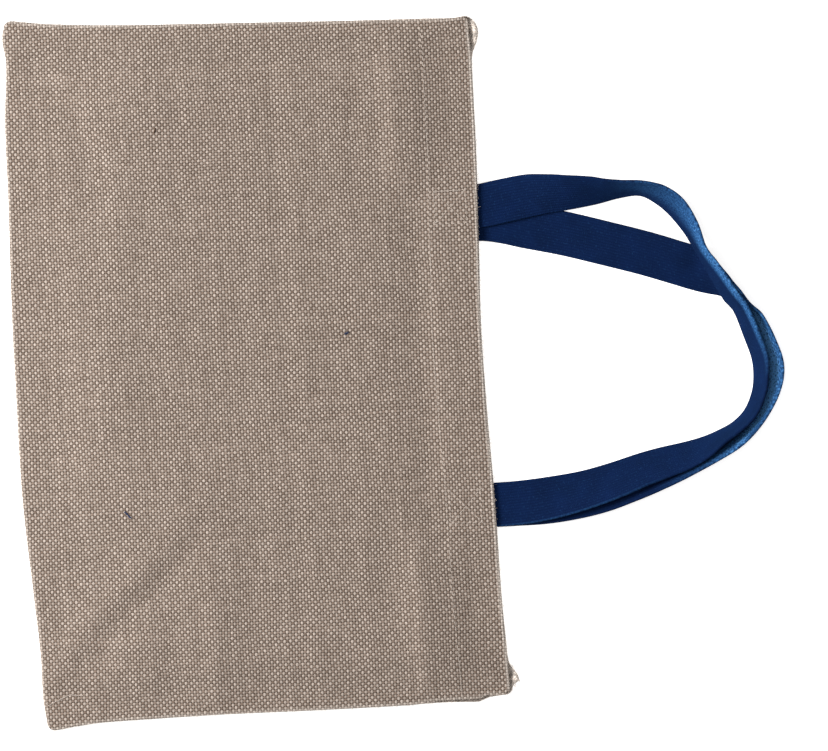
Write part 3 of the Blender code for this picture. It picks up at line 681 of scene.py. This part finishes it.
def handle_frames(route, ends, lift):
    """Centres, width directions and thickness directions at even steps along a handle."""
    places = (END_X - SEWN_IN, END_X - SEWN_IN / 2, END_X)
    rows = ([RouteRow(x, ends["far"], lift, 0) for x in places] + route
            + [RouteRow(x, ends["near"], lift, 0) for x in reversed(places)])
    columns = np.array(rows, float).T
    travelled = np.concatenate([[0.0], np.cumsum(np.hypot(*np.diff(columns[:2])))])

    def centre_and_width(distance):
        def at(column, shift=0.0):
            return smooth_through(travelled, columns[column], distance + shift)

        run_x = at(0, RUN_STEP) - at(0, -RUN_STEP)
        run_y = at(1, RUN_STEP) - at(1, -RUN_STEP)
        run = np.hypot(run_x, run_y)
        out_x, out_y = -run_y / run, run_x / run
        lean = np.radians(at(3))
        across = np.stack([out_x * np.cos(lean), out_y * np.cos(lean), np.sin(lean)], axis=1)
        half = WEB_THICKNESS / 2
        edge = np.stack([at(0) + out_x * half * np.sin(lean),
                         at(1) + out_y * half * np.sin(lean),
                         at(2) + half * np.cos(lean)], axis=1)
        return edge + across * WEB_WIDTH / 2, across

    marks = np.linspace(0.0, travelled[-1], LENGTH_STEPS + 1)
    fine = centre_and_width(marks)[0]
    lengths = np.concatenate([[0.0], np.cumsum(np.linalg.norm(np.diff(fine, axis=0), axis=1))])
    count = round(lengths[-1] / STATION_SPACING)
    distances = np.linspace(0.0, lengths[-1], count + 1)
    places = smooth_through(lengths, marks, distances)
    centres, across = centre_and_width(places)
    run = np.gradient(centres, axis=0)
    run /= np.linalg.norm(run, axis=1)[:, None]
    across -= run * np.sum(across * run, axis=1)[:, None]
    across /= np.linalg.norm(across, axis=1)[:, None]
    cup = np.maximum(smooth_through(travelled, columns[4], places), 0.0)
    return distances, centres, across, np.cross(run, across), cup


def webbing_section():
    """Across and thickness of the webbing's section: ribs on both faces, round selvedges."""
    half_width, half_thick = WEB_WIDTH / 2, WEB_THICKNESS / 2
    ribs = round(WEB_WIDTH / RIB_PITCH)
    w = np.linspace(-half_width, half_width, 4 * ribs + 1)
    from_selvedge = np.clip((half_width - np.abs(w)) / half_thick, 0, 1)
    rounding = np.sqrt(np.clip(1 - (1 - from_selvedge) ** 2, 0, 1))
    groove = RIB_DEPTH * (0.5 + 0.5 * np.cos(2 * math.pi * (w + half_width) / WEB_WIDTH * ribs))
    t = np.maximum(half_thick - groove, half_thick / 3) * rounding
    t[0] = t[-1] = 0.0
    return w, t


def cupped(w, cup):
    """Where points across the webbing lie when it is bent to an arc of so many degrees.

    Gives how far each lies along the straight section and off it, and its turn there.
    """
    arc = np.maximum(np.radians(cup), LEAST_ARC)
    turn = arc * w / WEB_WIDTH
    radius = WEB_WIDTH / arc
    return (radius * (np.sin(turn) + np.sin(arc / 2)) - WEB_WIDTH / 2,
            radius * (np.cos(arc / 2) - np.cos(turn)), turn)


def handle(name, route, ends, lift, painted_sheen, material):
    """A strap swept along its route. A point value paints a sheen on it, lighter towards its outer
    edge: painted light.
    """
    distances, centres, across, face, cup = handle_frames(route, ends, lift)
    w, t = webbing_section()
    ring_w = np.concatenate([w, w[-2:0:-1]])
    ring_t = np.concatenate([t, -t[-2:0:-1]])
    along, off, turn = cupped(ring_w[None, :], cup[:, None])
    points = (centres[:, None] + across[:, None] * (along - np.sin(turn) * ring_t)[..., None]
              + face[:, None] * (off + np.cos(turn) * ring_t)[..., None])
    size = len(ring_w)
    rows = [np.arange(size) + size * k for k in range(len(centres))]
    faces = bands(rows, closed=True)
    for row in (rows[0], rows[-1]):
        for k in range(len(w) - 1):
            quad = [row[k], row[k + 1], row[(size - k - 1) % size], row[(size - k) % size]]
            faces.append([int(n) for n in dict.fromkeys(quad)])
    uv = np.stack(np.broadcast_arrays(distances[:, None], ring_w[None, :]), axis=-1)
    # Painted sheen: the webbing is painted lighter towards its outer edge where it stands up, for
    # the light that falls there, and the back strap's shaded band is painted lighter too.
    start, amount, end = (np.interp(distances, [row.along for row in painted_sheen],
                                    [getattr(row, column) for row in painted_sheen])[:, None]
                          for column in ("start", "amount", "end"))
    share = ring_w[None, :] / WEB_WIDTH + 0.5
    sheen_share = amount * smooth_step((share - start) / (1 - start) * SHEEN_RISE)
    sheen_share *= 1 - SELVEDGE_SHEEN_CUT * smooth_step((share - end) / SELVEDGE_FADE)
    sheen_share *= np.where(ring_t < 0, UNDER_FACE_SHEEN, 1.0)
    return mesh_object(name, points.reshape(-1, 3), faces, uv.reshape(-1, 2),
                       {"painted_sheen": sheen_share.ravel()}, material)


# ---- nodes

def add_node(tree, kind, inputs=None, **settings):
    """Adds a node with its settings, and links or sets its inputs by name or number."""
    node = tree.nodes.new(kind)
    for name, value in settings.items():
        setattr(node, name, value)
    for key, value in (inputs or {}).items():
        source = value.outputs[0] if isinstance(value, bpy.types.Node) else value
        if isinstance(source, bpy.types.NodeSocket):
            tree.links.new(source, node.inputs[key])
        else:
            node.inputs[key].default_value = source
    return node


def maths(tree, operation, *values, clamp=False):
    """Arithmetic on numbers and other nodes' results."""
    return add_node(tree, "ShaderNodeMath", dict(enumerate(values)), operation=operation,
                    use_clamp=clamp)


def vector_maths(tree, operation, *values):
    """Arithmetic on vectors."""
    return add_node(tree, "ShaderNodeVectorMath", dict(enumerate(values)), operation=operation)


def scaled(tree, vector, factor):
    return add_node(tree, "ShaderNodeVectorMath", {0: vector, "Scale": factor},
                    operation="SCALE")


def parts(tree, vector):
    """A vector's X, Y and Z."""
    return add_node(tree, "ShaderNodeSeparateXYZ", {0: vector}).outputs


def spread(tree, value, low=0.0, high=1.0, least=0.0, most=1.0):
    """Spreads a value's stretch from low to high over one from least to most."""
    return add_node(tree, "ShaderNodeMapRange", {"Value": value, "From Min": low,
                                                 "From Max": high, "To Min": least,
                                                 "To Max": most})


def clouds(tree, place, size, detail=2.0):
    """Soft noise, its lumps about so many millimetres wide."""
    return add_node(tree, "ShaderNodeTexNoise",
                    {"Vector": place, "Scale": 1 / (size * MM), "Detail": detail})


def by_chance(tree, first, second):
    """A value of its own for each pair of whole numbers."""
    place = add_node(tree, "ShaderNodeCombineXYZ", {0: first, 1: second})
    return add_node(tree, "ShaderNodeTexWhiteNoise", {"Vector": place}, noise_dimensions="2D")


def mix_colours(tree, share, first, second, blend="MIX"):
    """Two colours, each an sRGB hex code or a socket, mixed by a share from 0 to 1."""
    first, second = (colour(each) if isinstance(each, str) else each
                     for each in (first, second))
    node = add_node(tree, "ShaderNodeMix",
                    {"Factor": share, COLOUR_A: first, COLOUR_B: second},
                    data_type="RGBA", blend_type=blend)
    return node.outputs[COLOUR_OUT]


def colour(code):
    """An sRGB hex colour as linear red, green, blue and alpha."""
    levels = [int(code[k:k + 2], 16) / 255 for k in (1, 3, 5)]
    return (*(c / 12.92 if c <= 0.04045 else ((c + 0.055) / 1.055) ** 2.4 for c in levels), 1.0)


def new_material(name):
    """A new material, its tree and its shader."""
    material = bpy.data.materials.new(name)
    material.use_nodes = True
    tree = material.node_tree
    return material, tree, tree.nodes["Principled BSDF"]


def yarn_swell(tree, reach):
    """Height of a round yarn: 1 at its middle, 0 where the square of its reach is 1."""
    return maths(tree, "POWER", maths(tree, "SUBTRACT", 1.0, reach, clamp=True), 0.5)


def bumps(tree, shader, height, depth, strength=1.0):
    """Gives a shader's surface a fine relief so many millimetres deep."""
    bump = add_node(tree, "ShaderNodeBump", {"Strength": strength, "Distance": depth * MM,
                                             "Height": height})
    tree.links.new(bump.outputs["Normal"], shader.inputs["Normal"])


def relief(tree, shader, uv, swell, fibres, depth):
    """The relief of woven yarns with fine fibres on them."""
    size, share = fibres
    height = maths(tree, "MULTIPLY_ADD", clouds(tree, uv, size), share, swell)
    bumps(tree, shader, height, depth)


def finish_shader(tree, shader, base, values):
    """Gives a shader its colour and its constants."""
    tree.links.new(base, shader.inputs["Base Color"])
    for name, value in values.items():
        shader.inputs[name].default_value = value


# ---- materials

def burlap_cloth():
    """Plain weave, undyed: cream cotton yarns along Y and tan jute yarns along X.

    The yarn on top at each crossing shows as a small oval swell. The cream ones stand out
    as a chequer of pale dots, and the gaps between the yarns are dark. Each yarn has its
    own tone and thickens and thins along its run. The folded rims are painted paler, partly for
    rubbing and partly as painted light that lifts their shade.
    """
    material, tree, shader = new_material("woven jute and cotton burlap")
    uv = add_node(tree, "ShaderNodeUVMap", uv_map="flat cloth")
    wander = clouds(tree, uv, WANDER_SIZE, detail=3.0).outputs["Color"]
    wander = vector_maths(tree, "SUBTRACT", wander, (0.5, 0.5, 0.5))
    place = scaled(tree, uv, 1 / (YARN_PITCH * MM))
    place = vector_maths(tree, "MULTIPLY_ADD", wander, (WANDER, WANDER, 0.0), place)
    cell = parts(tree, vector_maths(tree, "FLOOR", place))
    inside = vector_maths(tree, "FRACTION", place)
    inside = parts(tree, vector_maths(tree, "SUBTRACT", inside, MID_CELL))
    spot = parts(tree, place)
    crossing = maths(tree, "ADD", cell["X"], cell["Y"])
    jute_on_top = maths(tree, "FLOORED_MODULO", crossing, 2.0)
    by_yarn = {"across": (inside, "X", "Y"), "along": (inside, "Y", "X"),
               "yarn": (cell, "X", "Y"), "run": (spot, "Y", "X")}
    top = {}
    for name, (source, for_cotton, for_jute) in by_yarn.items():
        top[name] = add_node(tree, "ShaderNodeMix", {"Factor": jute_on_top,
                                                     "A": source[for_cotton],
                                                     "B": source[for_jute]})

    own_tone = by_chance(tree, top["yarn"], jute_on_top)
    run_place = add_node(tree, "ShaderNodeCombineXYZ",
                         {0: top["yarn"], 1: top["run"], 2: jute_on_top})
    run_place = vector_maths(tree, "MULTIPLY", run_place, SLUB_SCALE)
    slub = add_node(tree, "ShaderNodeTexNoise", {"Vector": run_place, "Scale": 1.0,
                                                 "Detail": 2.0, "Roughness": 0.6})
    dot = by_chance(tree, cell["X"], cell["Y"])

    half_width = spread(tree, slub, *MOST_NOISE, *YARN_HALF_WIDTH)
    half_length = spread(tree, dot, 0.0, 1.0, *DOT_HALF_LENGTH)
    reach_across = maths(tree, "DIVIDE", top["across"], half_width)
    reach_along = maths(tree, "DIVIDE", top["along"], half_length)
    reach_across = maths(tree, "POWER", reach_across, 2.0)
    reach_along = maths(tree, "POWER", reach_along, 2.0)
    swell = yarn_swell(tree, maths(tree, "ADD", reach_across, reach_along))

    cotton, jute = mix_colours(tree, dot, *COTTON), mix_colours(tree, dot, *JUTE)
    yarn = mix_colours(tree, jute_on_top, cotton, jute)
    # The value "edge" paints the rims paler: rubbing, and painted light where the rims and
    # turned-out corners lie in shade.
    worn_and_lit = add_node(tree, "ShaderNodeAttribute", attribute_name="edge").outputs["Fac"]
    pale = maths(tree, "MULTIPLY", worn_and_lit, MOST_PALE)
    yarn = mix_colours(tree, pale, yarn, WORN_AND_LIT_YARN)
    gap = mix_colours(tree, pale, GAP, WORN_AND_LIT_GAP)

    patch = clouds(tree, uv, PATCH_SIZE)
    tone = maths(tree, "MULTIPLY_ADD", own_tone, OWN_TONE, LEAST_TONE)
    tone = maths(tree, "MULTIPLY_ADD", slub, SLUB_TONE, tone)
    tone = maths(tree, "MULTIPLY_ADD", patch, PATCH_TONE, tone)
    yarn = mix_colours(tree, 1.0, yarn, tone, "MULTIPLY")
    cloth = mix_colours(tree, spread(tree, swell, high=YARN_SHOWN_FROM), gap, yarn)
    relief(tree, shader, uv, swell, CLOTH_FIBRES, CLOTH_RELIEF)
    finish_shader(tree, shader, cloth, {
        "Roughness": 0.95, "Specular IOR Level": 0.25, "Sheen Weight": 0.12,
        "Sheen Roughness": 0.6, "Sheen Tint": colour(CLOTH_SHEEN)})
    return material


def navy_webbing():
    """Flat woven cotton webbing in navy dye: ribs along its length, picks across them.

    Its nap is speckled. Where it stands up it has a painted sheen, a lighter blue for the light
    there, and the back strap's shaded band has painted light.
    """
    material, tree, shader = new_material("woven navy cotton webbing")
    uv = add_node(tree, "ShaderNodeUVMap", uv_map="flat cloth")
    place = vector_maths(tree, "MULTIPLY", uv,
                         (1 / (PICK_PITCH * MM), 1 / (RIB_PITCH * MM), 1.0))
    rib = maths(tree, "FLOOR", parts(tree, place)["Y"])
    brick = add_node(tree, "ShaderNodeCombineXYZ", {0: maths(tree, "MULTIPLY", rib, 0.5)})
    inside = vector_maths(tree, "FRACTION", vector_maths(tree, "ADD", place, brick))
    inside = vector_maths(tree, "SUBTRACT", inside, MID_CELL)
    reach = vector_maths(tree, "MULTIPLY", inside, PICK_SHAPE)
    swell = yarn_swell(tree, vector_maths(tree, "DOT_PRODUCT", reach, reach).outputs["Value"])
    ground = mix_colours(tree, clouds(tree, uv, FADE_SIZE, detail=3.0), *NAVY)
    nap = clouds(tree, uv, NAP_SIZE)
    fleck = spread(tree, nap, *FLECK_FROM, most=MOST_FLECK)
    # Painted sheen: a lighter blue painted where the handles stand up, standing in for light.
    painted_sheen = add_node(tree, "ShaderNodeAttribute", attribute_name="painted_sheen").outputs["Fac"]
    painted_sheen = maths(tree, "MULTIPLY", painted_sheen, spread(tree, nap, *MOST_NOISE, *NAP_SHEEN_SPREAD))
    painted_sheen = maths(tree, "MAXIMUM", painted_sheen, fleck)
    # The dye's colour with the painted sheen mixed in.
    dye_and_sheen = mix_colours(tree, painted_sheen, ground, PAINTED_SHEEN_NAVY)
    brightest_sheen = spread(tree, painted_sheen, *BRIGHTEST_SHEEN_FROM, most=MOST_BRIGHTEST_SHEEN)
    dye_and_sheen = mix_colours(tree, brightest_sheen, dye_and_sheen, BRIGHTEST_SHEEN_NAVY)
    shade = spread(tree, swell, least=PICK_SHADE)
    dye_and_sheen = mix_colours(tree, 1.0, dye_and_sheen, shade.outputs[0], "MULTIPLY")
    relief(tree, shader, uv, swell, WEBBING_FIBRES, WEBBING_RELIEF)
    finish_shader(tree, shader, dye_and_sheen, {
        "Roughness": 0.85, "Specular IOR Level": 0.0, "Sheen Weight": 0.05,
        "Sheen Roughness": 0.4, "Sheen Tint": (0.14, 0.45, 1.0, 1.0)})
    return material


def spun_thread(name, dark, light, sheen):
    """Spun yarn or thread: plies that vary along it between two tones, and a soft fuzz."""
    material, tree, shader = new_material(name)
    place = add_node(tree, "ShaderNodeTexCoord").outputs["Object"]
    plies = clouds(tree, place, PLY_SIZE)
    bumps(tree, shader, plies, PLY_RELIEF, PLY_STRENGTH)
    finish_shader(tree, shader, mix_colours(tree, plies, dark, light), {
        "Roughness": 0.9, "Specular IOR Level": 0.25, "Sheen Weight": sheen})
    return material


def pale_floor():
    """A light table's matt white top, which glows a little and so softens the shadows."""
    material, tree, shader = new_material("matt white glass")
    place = add_node(tree, "ShaderNodeTexCoord").outputs["Object"]
    cloud = add_node(tree, "ShaderNodeTexNoise", {"Vector": place, "Scale": 3.0})
    tone = mix_colours(tree, cloud, *FLOOR_WHITE)
    tree.links.new(tone, shader.inputs["Emission Color"])
    finish_shader(tree, shader, tone, {
        "Emission Strength": FLOOR_GLOW, "Roughness": 0.9, "Specular IOR Level": 0.2})
    return material


# ---- sewing, yarns and fuzz

def new_rule(name, sizes):
    """An empty Geometry Nodes tree with named inputs, and what it is given."""
    tree = bpy.data.node_groups.new(name, "GeometryNodeTree")
    tree.interface.new_socket("Geometry", in_out="INPUT", socket_type="NodeSocketGeometry")
    for size in sizes:
        tree.interface.new_socket(size, in_out="INPUT", socket_type="NodeSocketFloat")
    tree.interface.new_socket("Geometry", in_out="OUTPUT", socket_type="NodeSocketGeometry")
    return tree, add_node(tree, "NodeGroupInput").outputs


def guide_lines(tree, given, step):
    """The guide's lines, divided evenly."""
    line = add_node(tree, "GeometryNodeMeshToCurve", {0: given["Geometry"]})
    return add_node(tree, "GeometryNodeResampleCurve", {"Curve": line, "Length": step},
                    mode="LENGTH")


def tube_along(tree, line, sides, radius, scale=1.0):
    """A closed tube along a line."""
    ring = add_node(tree, "GeometryNodeCurvePrimitiveCircle", {"Resolution": sides,
                                                               "Radius": radius})
    return add_node(tree, "GeometryNodeCurveToMesh",
                    {"Curve": line, "Profile Curve": ring, "Scale": scale, "Fill Caps": True})


def moved(tree, geometry, offset):
    return add_node(tree, "GeometryNodeSetPosition", {"Geometry": geometry, "Offset": offset})


def random_vector(tree, least, most, seed):
    node = add_node(tree, "FunctionNodeRandomValue", {0: least, 1: most, "Seed": seed},
                    data_type="FLOAT_VECTOR")
    return node.outputs[0]


def close_rule(tree, geometry, material):
    """Ends a tree: real meshes in place of copies, shaded smooth, with their material.

    What would reach below the surface that the bag lies on is pressed flat on it.
    """
    real = add_node(tree, "GeometryNodeRealizeInstances", {0: geometry})
    place = vector_maths(tree, "MAXIMUM", add_node(tree, "GeometryNodeInputPosition"), LOWEST)
    real = add_node(tree, "GeometryNodeSetPosition", {"Geometry": real, "Position": place})
    smooth = add_node(tree, "GeometryNodeSetShadeSmooth", {0: real})
    finished = add_node(tree, "GeometryNodeSetMaterial",
                        {"Geometry": smooth, "Material": material})
    add_node(tree, "NodeGroupOutput", {0: finished})
    return tree


def run_of_stitches(material):
    """Lockstitch along a line: each stitch is a short arc of thread that dips in at its ends.

    Side is 1 where the stitches lie on top of the cloth and -1 where they lie under it.
    """
    tree, given = new_rule("run of stitches", ("Pitch", "Length", "Thread", "Side"))
    stray = random_vector(tree, (-STITCH_STRAY, -STITCH_STRAY, 0.0),
                          (STITCH_STRAY, STITCH_STRAY, STITCH_LIFT), seed=3)
    line = moved(tree, guide_lines(tree, given, given["Pitch"]), stray)
    half = maths(tree, "MULTIPLY", given["Length"], 0.5)
    back = maths(tree, "MULTIPLY", half, -1.0)
    rise = maths(tree, "MULTIPLY", given["Thread"], STITCH_RISE)
    dip = maths(tree, "MULTIPLY", given["Thread"], STITCH_DIP)
    start = add_node(tree, "ShaderNodeCombineXYZ", {0: back, 2: dip})
    middle = add_node(tree, "ShaderNodeCombineXYZ", {2: rise})
    end = add_node(tree, "ShaderNodeCombineXYZ", {0: half, 2: dip})
    arc = add_node(tree, "GeometryNodeCurveQuadraticBezier",
                   {"Resolution": 5, "Start": start, "Middle": middle, "End": end})
    stitch = tube_along(tree, arc, 6, maths(tree, "MULTIPLY", given["Thread"], 0.5))
    up = add_node(tree, "ShaderNodeCombineXYZ", {2: given["Side"]})
    turn = add_node(tree, "FunctionNodeAlignRotationToVector", {"Vector": up}, axis="Z")
    tangent = add_node(tree, "GeometryNodeInputTangent")
    turn = add_node(tree, "FunctionNodeAlignRotationToVector",
                    {"Rotation": turn, "Vector": tangent}, axis="X", pivot_axis="Z")
    stitches = add_node(tree, "GeometryNodeInstanceOnPoints",
                        {"Points": line, "Instance": stitch, "Rotation": turn})
    return close_rule(tree, stitches, material)


def spun_yarns(material):
    """Yarns along lines, a little uneven in thickness and in their run."""
    tree, given = new_rule("spun yarns", ("Thickness", "Wobble"))
    place = add_node(tree, "GeometryNodeInputPosition")
    waves = clouds(tree, place, WAVE_SIZE).outputs["Color"]
    shift = vector_maths(tree, "SUBTRACT", waves, (0.5, 0.5, 0.4))
    line = moved(tree, guide_lines(tree, given, YARN_STEP * MM),
                 scaled(tree, shift, given["Wobble"]))
    thick = spread(tree, clouds(tree, place, LUMP_SIZE), *NEARLY_ALL_NOISE, *YARN_RADIUS)
    thick = maths(tree, "MULTIPLY", thick, given["Thickness"])
    return close_rule(tree, tube_along(tree, line, 7, 1.0, thick), material)


def loose_fibres(material):
    """Short curved hairs standing out of a surface at random."""
    tree, given = new_rule("loose fibres", ("Per square metre", "Length", "Thickness"))
    roots = add_node(tree, "GeometryNodeDistributePointsOnFaces",
                     {"Mesh": given["Geometry"], "Density": given["Per square metre"],
                      "Seed": 11})
    hair = add_node(tree, "GeometryNodeCurveQuadraticBezier", {"Resolution": 3, **HAIR_SHAPE})
    slim = maths(tree, "DIVIDE", given["Thickness"], given["Length"])
    hair = tube_along(tree, hair, 3, maths(tree, "MULTIPLY", slim, 0.5))
    spin = random_vector(tree, (-HAIR_TILT, -HAIR_TILT, 0.0),
                         (HAIR_TILT, HAIR_TILT, 2 * math.pi), seed=5)
    turn = add_node(tree, "FunctionNodeRotateRotation",
                    {"Rotation": roots.outputs["Rotation"], "Rotate By": spin},
                    rotation_space="LOCAL")
    shortest, longest = HAIR_LENGTHS
    share = add_node(tree, "FunctionNodeRandomValue", {2: shortest, 3: longest, "Seed": 8},
                     data_type="FLOAT")
    size = maths(tree, "MULTIPLY", share.outputs[1], given["Length"])
    hairs = add_node(tree, "GeometryNodeInstanceOnPoints",
                     {"Points": roots.outputs["Points"], "Instance": hair,
                      "Rotation": turn, "Scale": size})
    return close_rule(tree, hairs, material)


def made_by(rule, name, guide, sizes):
    """Runs a tree on a guide mesh and keeps the result as a plain piece."""
    modifier = guide.modifiers.new(rule.name, "NODES")
    modifier.node_group = rule
    for item in rule.interface.items_tree:
        if item.name in sizes:
            modifier[item.identifier] = float(sizes[item.name])
    shown = guide.evaluated_get(bpy.context.evaluated_depsgraph_get())
    mesh = bpy.data.meshes.new_from_object(shown)
    mesh.name = name
    piece = bpy.data.objects.new(name, mesh)
    bpy.context.scene.collection.objects.link(piece)
    guide.modifiers.remove(modifier)
    bpy.data.objects.remove(guide)
    return piece


def lines_object(name, lines):
    """A mesh of open lines, each given by its points."""
    points, edges = [], []
    for line in lines:
        edges += [(len(points) + k, len(points) + k + 1) for k in range(len(line) - 1)]
        points += [tuple(point) for point in line]
    return mesh_object(name, points, [], edges=edges)


def on_cloth(corners, lift, spacing):
    """A line on the upper panel through the given places, lifted off it."""
    line = []
    for (x0, y0), (x1, y1) in zip(corners, corners[1:]):
        steps = max(1, round(math.hypot(x1 - x0, y1 - y0) / spacing))
        line += [(mix(x0, x1, k / steps), mix(y0, y1, k / steps)) for k in range(steps)]
    x, y = np.array(line + [corners[-1]], float).T
    return np.stack([x, y, upper_height(x, y) + lift], axis=1)


def hem_line():
    """Places along the hem's row of stitches, a little in from its inner edge."""
    y = np.arange(edge_value(NEAR_SIDE, HEM_EDGE) + HEM_LINE_INSET,
                  edge_value(FAR_SIDE, HEM_EDGE) - HEM_LINE_INSET, SEAM_SPACING)
    return edge_value(MOUTH, y) - HEM + HEM_LINE, y


def box_corners(inner_y):
    """Corners of the stitched box over a handle's end, walked once round and across."""
    x0 = END_X - SEWN_IN + BOX_MARGIN
    x1 = x0 + BOX_LENGTH
    y0, y1 = inner_y + BOX_MARGIN, inner_y + WEB_WIDTH - BOX_MARGIN
    return [(x0, y0), (x1, y0), (x1, y1), (x0, y1), (x0, y0), (x1, y1)], [(x1, y0), (x0, y1)]


def frayed_line(end):
    """A loose yarn end from its root, curling to one side and sagging."""
    line = []
    for k in range(FRAY_STEPS + 1):
        t = k / FRAY_STEPS
        bend = math.radians(end.turn + end.curl * t)
        line.append((end.x + end.length * t * math.cos(bend),
                     end.y + end.length * t * math.sin(bend),
                     max(end.z - end.length * FRAY_SAG * t * t, FRAY_LOWEST)))
    return line


# ---- the bag put together

def added(first, second):
    """An outline's table with another table's values added to it."""
    places = sorted({row.along for row in first + second})
    return [EdgeRow(at, float(edge_value(first, at) + edge_value(second, at)))
            for at in places]


def cloth_panels(burlap):
    """Both panels, with the guides that their fuzz grows on."""
    under_mouth, drawn_in = added(MOUTH, MOUTH_PEEK), added(NEAR_SIDE, NEAR_DRAW)
    upper = cloth_panel("upper_cloth", Outline(drawn_in, FAR_SIDE, BOTTOM_SEAM, MOUTH),
                        upper_height, -1, burlap)
    under = cloth_panel("under_cloth", Outline(NEAR_SIDE, FAR_SIDE, BOTTOM_SEAM, under_mouth),
                        under_height, 1, burlap)
    return upper, under


def sewing(name, ends, side, thread):
    """A panel's hem line and the boxes over its handle's ends, on its right side.

    side is 1 for the upper panel and -1 for the under one, whose right side is below.
    """
    x, y = hem_line()
    lines = [np.stack([x, y, upper_height(x, y)], axis=1)]
    for inner_y in (ends["far"], ends["near"] - WEB_WIDTH):
        lines += [on_cloth(corners, 0.0, SEAM_SPACING) for corners in box_corners(inner_y)]
    if side < 0:
        for line in lines:
            line[:, 2] = UNDER_THREAD
    return made_by(run_of_stitches(thread), name, lines_object("sewn lines", lines),
                   {"Pitch": STITCH_PITCH * MM, "Length": STITCH_LENGTH * MM,
                    "Thread": SEWING_THREAD * MM, "Side": side})


def studio():
    """Pale floor, a soft light from the left, a weaker one from above, and the camera."""
    floor = mesh_object("floor", [(-FLOOR, -FLOOR, FLOOR_Z), (FLOOR, -FLOOR, FLOOR_Z),
                                  (FLOOR, FLOOR, FLOOR_Z), (-FLOOR, FLOOR, FLOOR_Z)],
                        [(0, 1, 2, 3)], material=pale_floor())
    scene = bpy.context.scene
    scene.world = bpy.data.worlds.new("soft room")
    scene.world.use_nodes = True
    sky = scene.world.node_tree.nodes["Background"]
    sky.inputs["Color"].default_value = colour(ROOM_WHITE)
    sky.inputs["Strength"].default_value = WORLD_LIGHT
    centre = Vector((*PHOTO_CENTRE, 0.0)) * MM
    for name, place, size, power in SOFT_LIGHTS:
        light = bpy.data.lights.new(name, "AREA")
        light.shape, light.size, light.energy = "DISK", size, power
        lamp = bpy.data.objects.new(name, light)
        lamp.location = centre + Vector(place)
        lamp.rotation_euler = (-Vector(place)).to_track_quat("-Z", "Y").to_euler()
        lamp.visible_camera = False
        scene.collection.objects.link(lamp)
    lens = bpy.data.cameras.new("camera")
    lens.sensor_width = SENSOR
    lens.lens = SENSOR * (CAMERA_HEIGHT - CROWN / 2) / PHOTO_WIDTH
    lens.clip_end = 100.0
    camera = bpy.data.objects.new("camera", lens)
    camera.location = Vector((*PHOTO_CENTRE, CAMERA_HEIGHT)) * MM
    camera.rotation_euler = (0.0, 0.0, math.radians(PHOTO_TURN))
    scene.collection.objects.link(camera)
    scene.camera = camera
    scene.view_settings.view_transform = "Standard"


burlap, webbing = burlap_cloth(), navy_webbing()
thread = spun_thread("spun cotton sewing thread", *SEWING_COTTON, 0.1)
loose_yarn = spun_thread("loose jute and cotton yarn", *LOOSE_YARN, 0.3)
navy_lint = spun_thread("navy cotton lint", *NAVY_LINT, 0.2)
dark_jute = spun_thread("dark jute slub", *DARK_JUTE, 0.1)
fibres = {"cotton": thread, "navy": navy_lint, "dark": dark_jute}

(upper, upper_rim), (under, under_rim) = cloth_panels(burlap)
front = handle("front_strap", FRONT_ROUTE, FRONT_ENDS, FRONT_HANDLE_LIFT, FRONT_PAINTED_SHEEN,
               webbing)
back = handle("back_strap", BACK_ROUTE, BACK_ENDS, BACK_HANDLE_LIFT, BACK_PAINTED_SHEEN, webbing)

fuzz_size = {"Per square metre": RIM_FIBRES, "Length": FUZZ_LENGTH * MM,
             "Thickness": FUZZ_THICKNESS * MM}
upper_details = [
    sewing("upper_sewing", FRONT_ENDS, 1, thread),
    made_by(loose_fibres(loose_yarn), "upper_rim_fuzz", upper_rim, fuzz_size),
]
under_details = [
    sewing("under_sewing", BACK_ENDS, -1, thread),
    made_by(loose_fibres(loose_yarn), "under_rim_fuzz", under_rim, fuzz_size),
]
for name, fibre, thickness, wobble, places in LOOSE_YARNS:
    line = on_cloth(places, thickness * LOOSE_LIFT, LOOSE_SPACING)
    upper_details.append(made_by(spun_yarns(fibres[fibre]), name, lines_object("line", [line]),
                                 {"Thickness": thickness * MM, "Wobble": wobble * MM}))
under_details.append(made_by(
    spun_yarns(loose_yarn), "frayed_corners",
    lines_object("frayed ends", [frayed_line(end) for end in FRAYED_ENDS]),
    {"Thickness": FRAY_THICKNESS * MM, "Wobble": FRAY_WOBBLE * MM}))

for piece in (upper, under, front, back, *upper_details, *under_details):
    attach(piece, BODY)
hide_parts("front_panel")
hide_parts("back_panel")
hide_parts("handle_front")
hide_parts("handle_back")

studio()
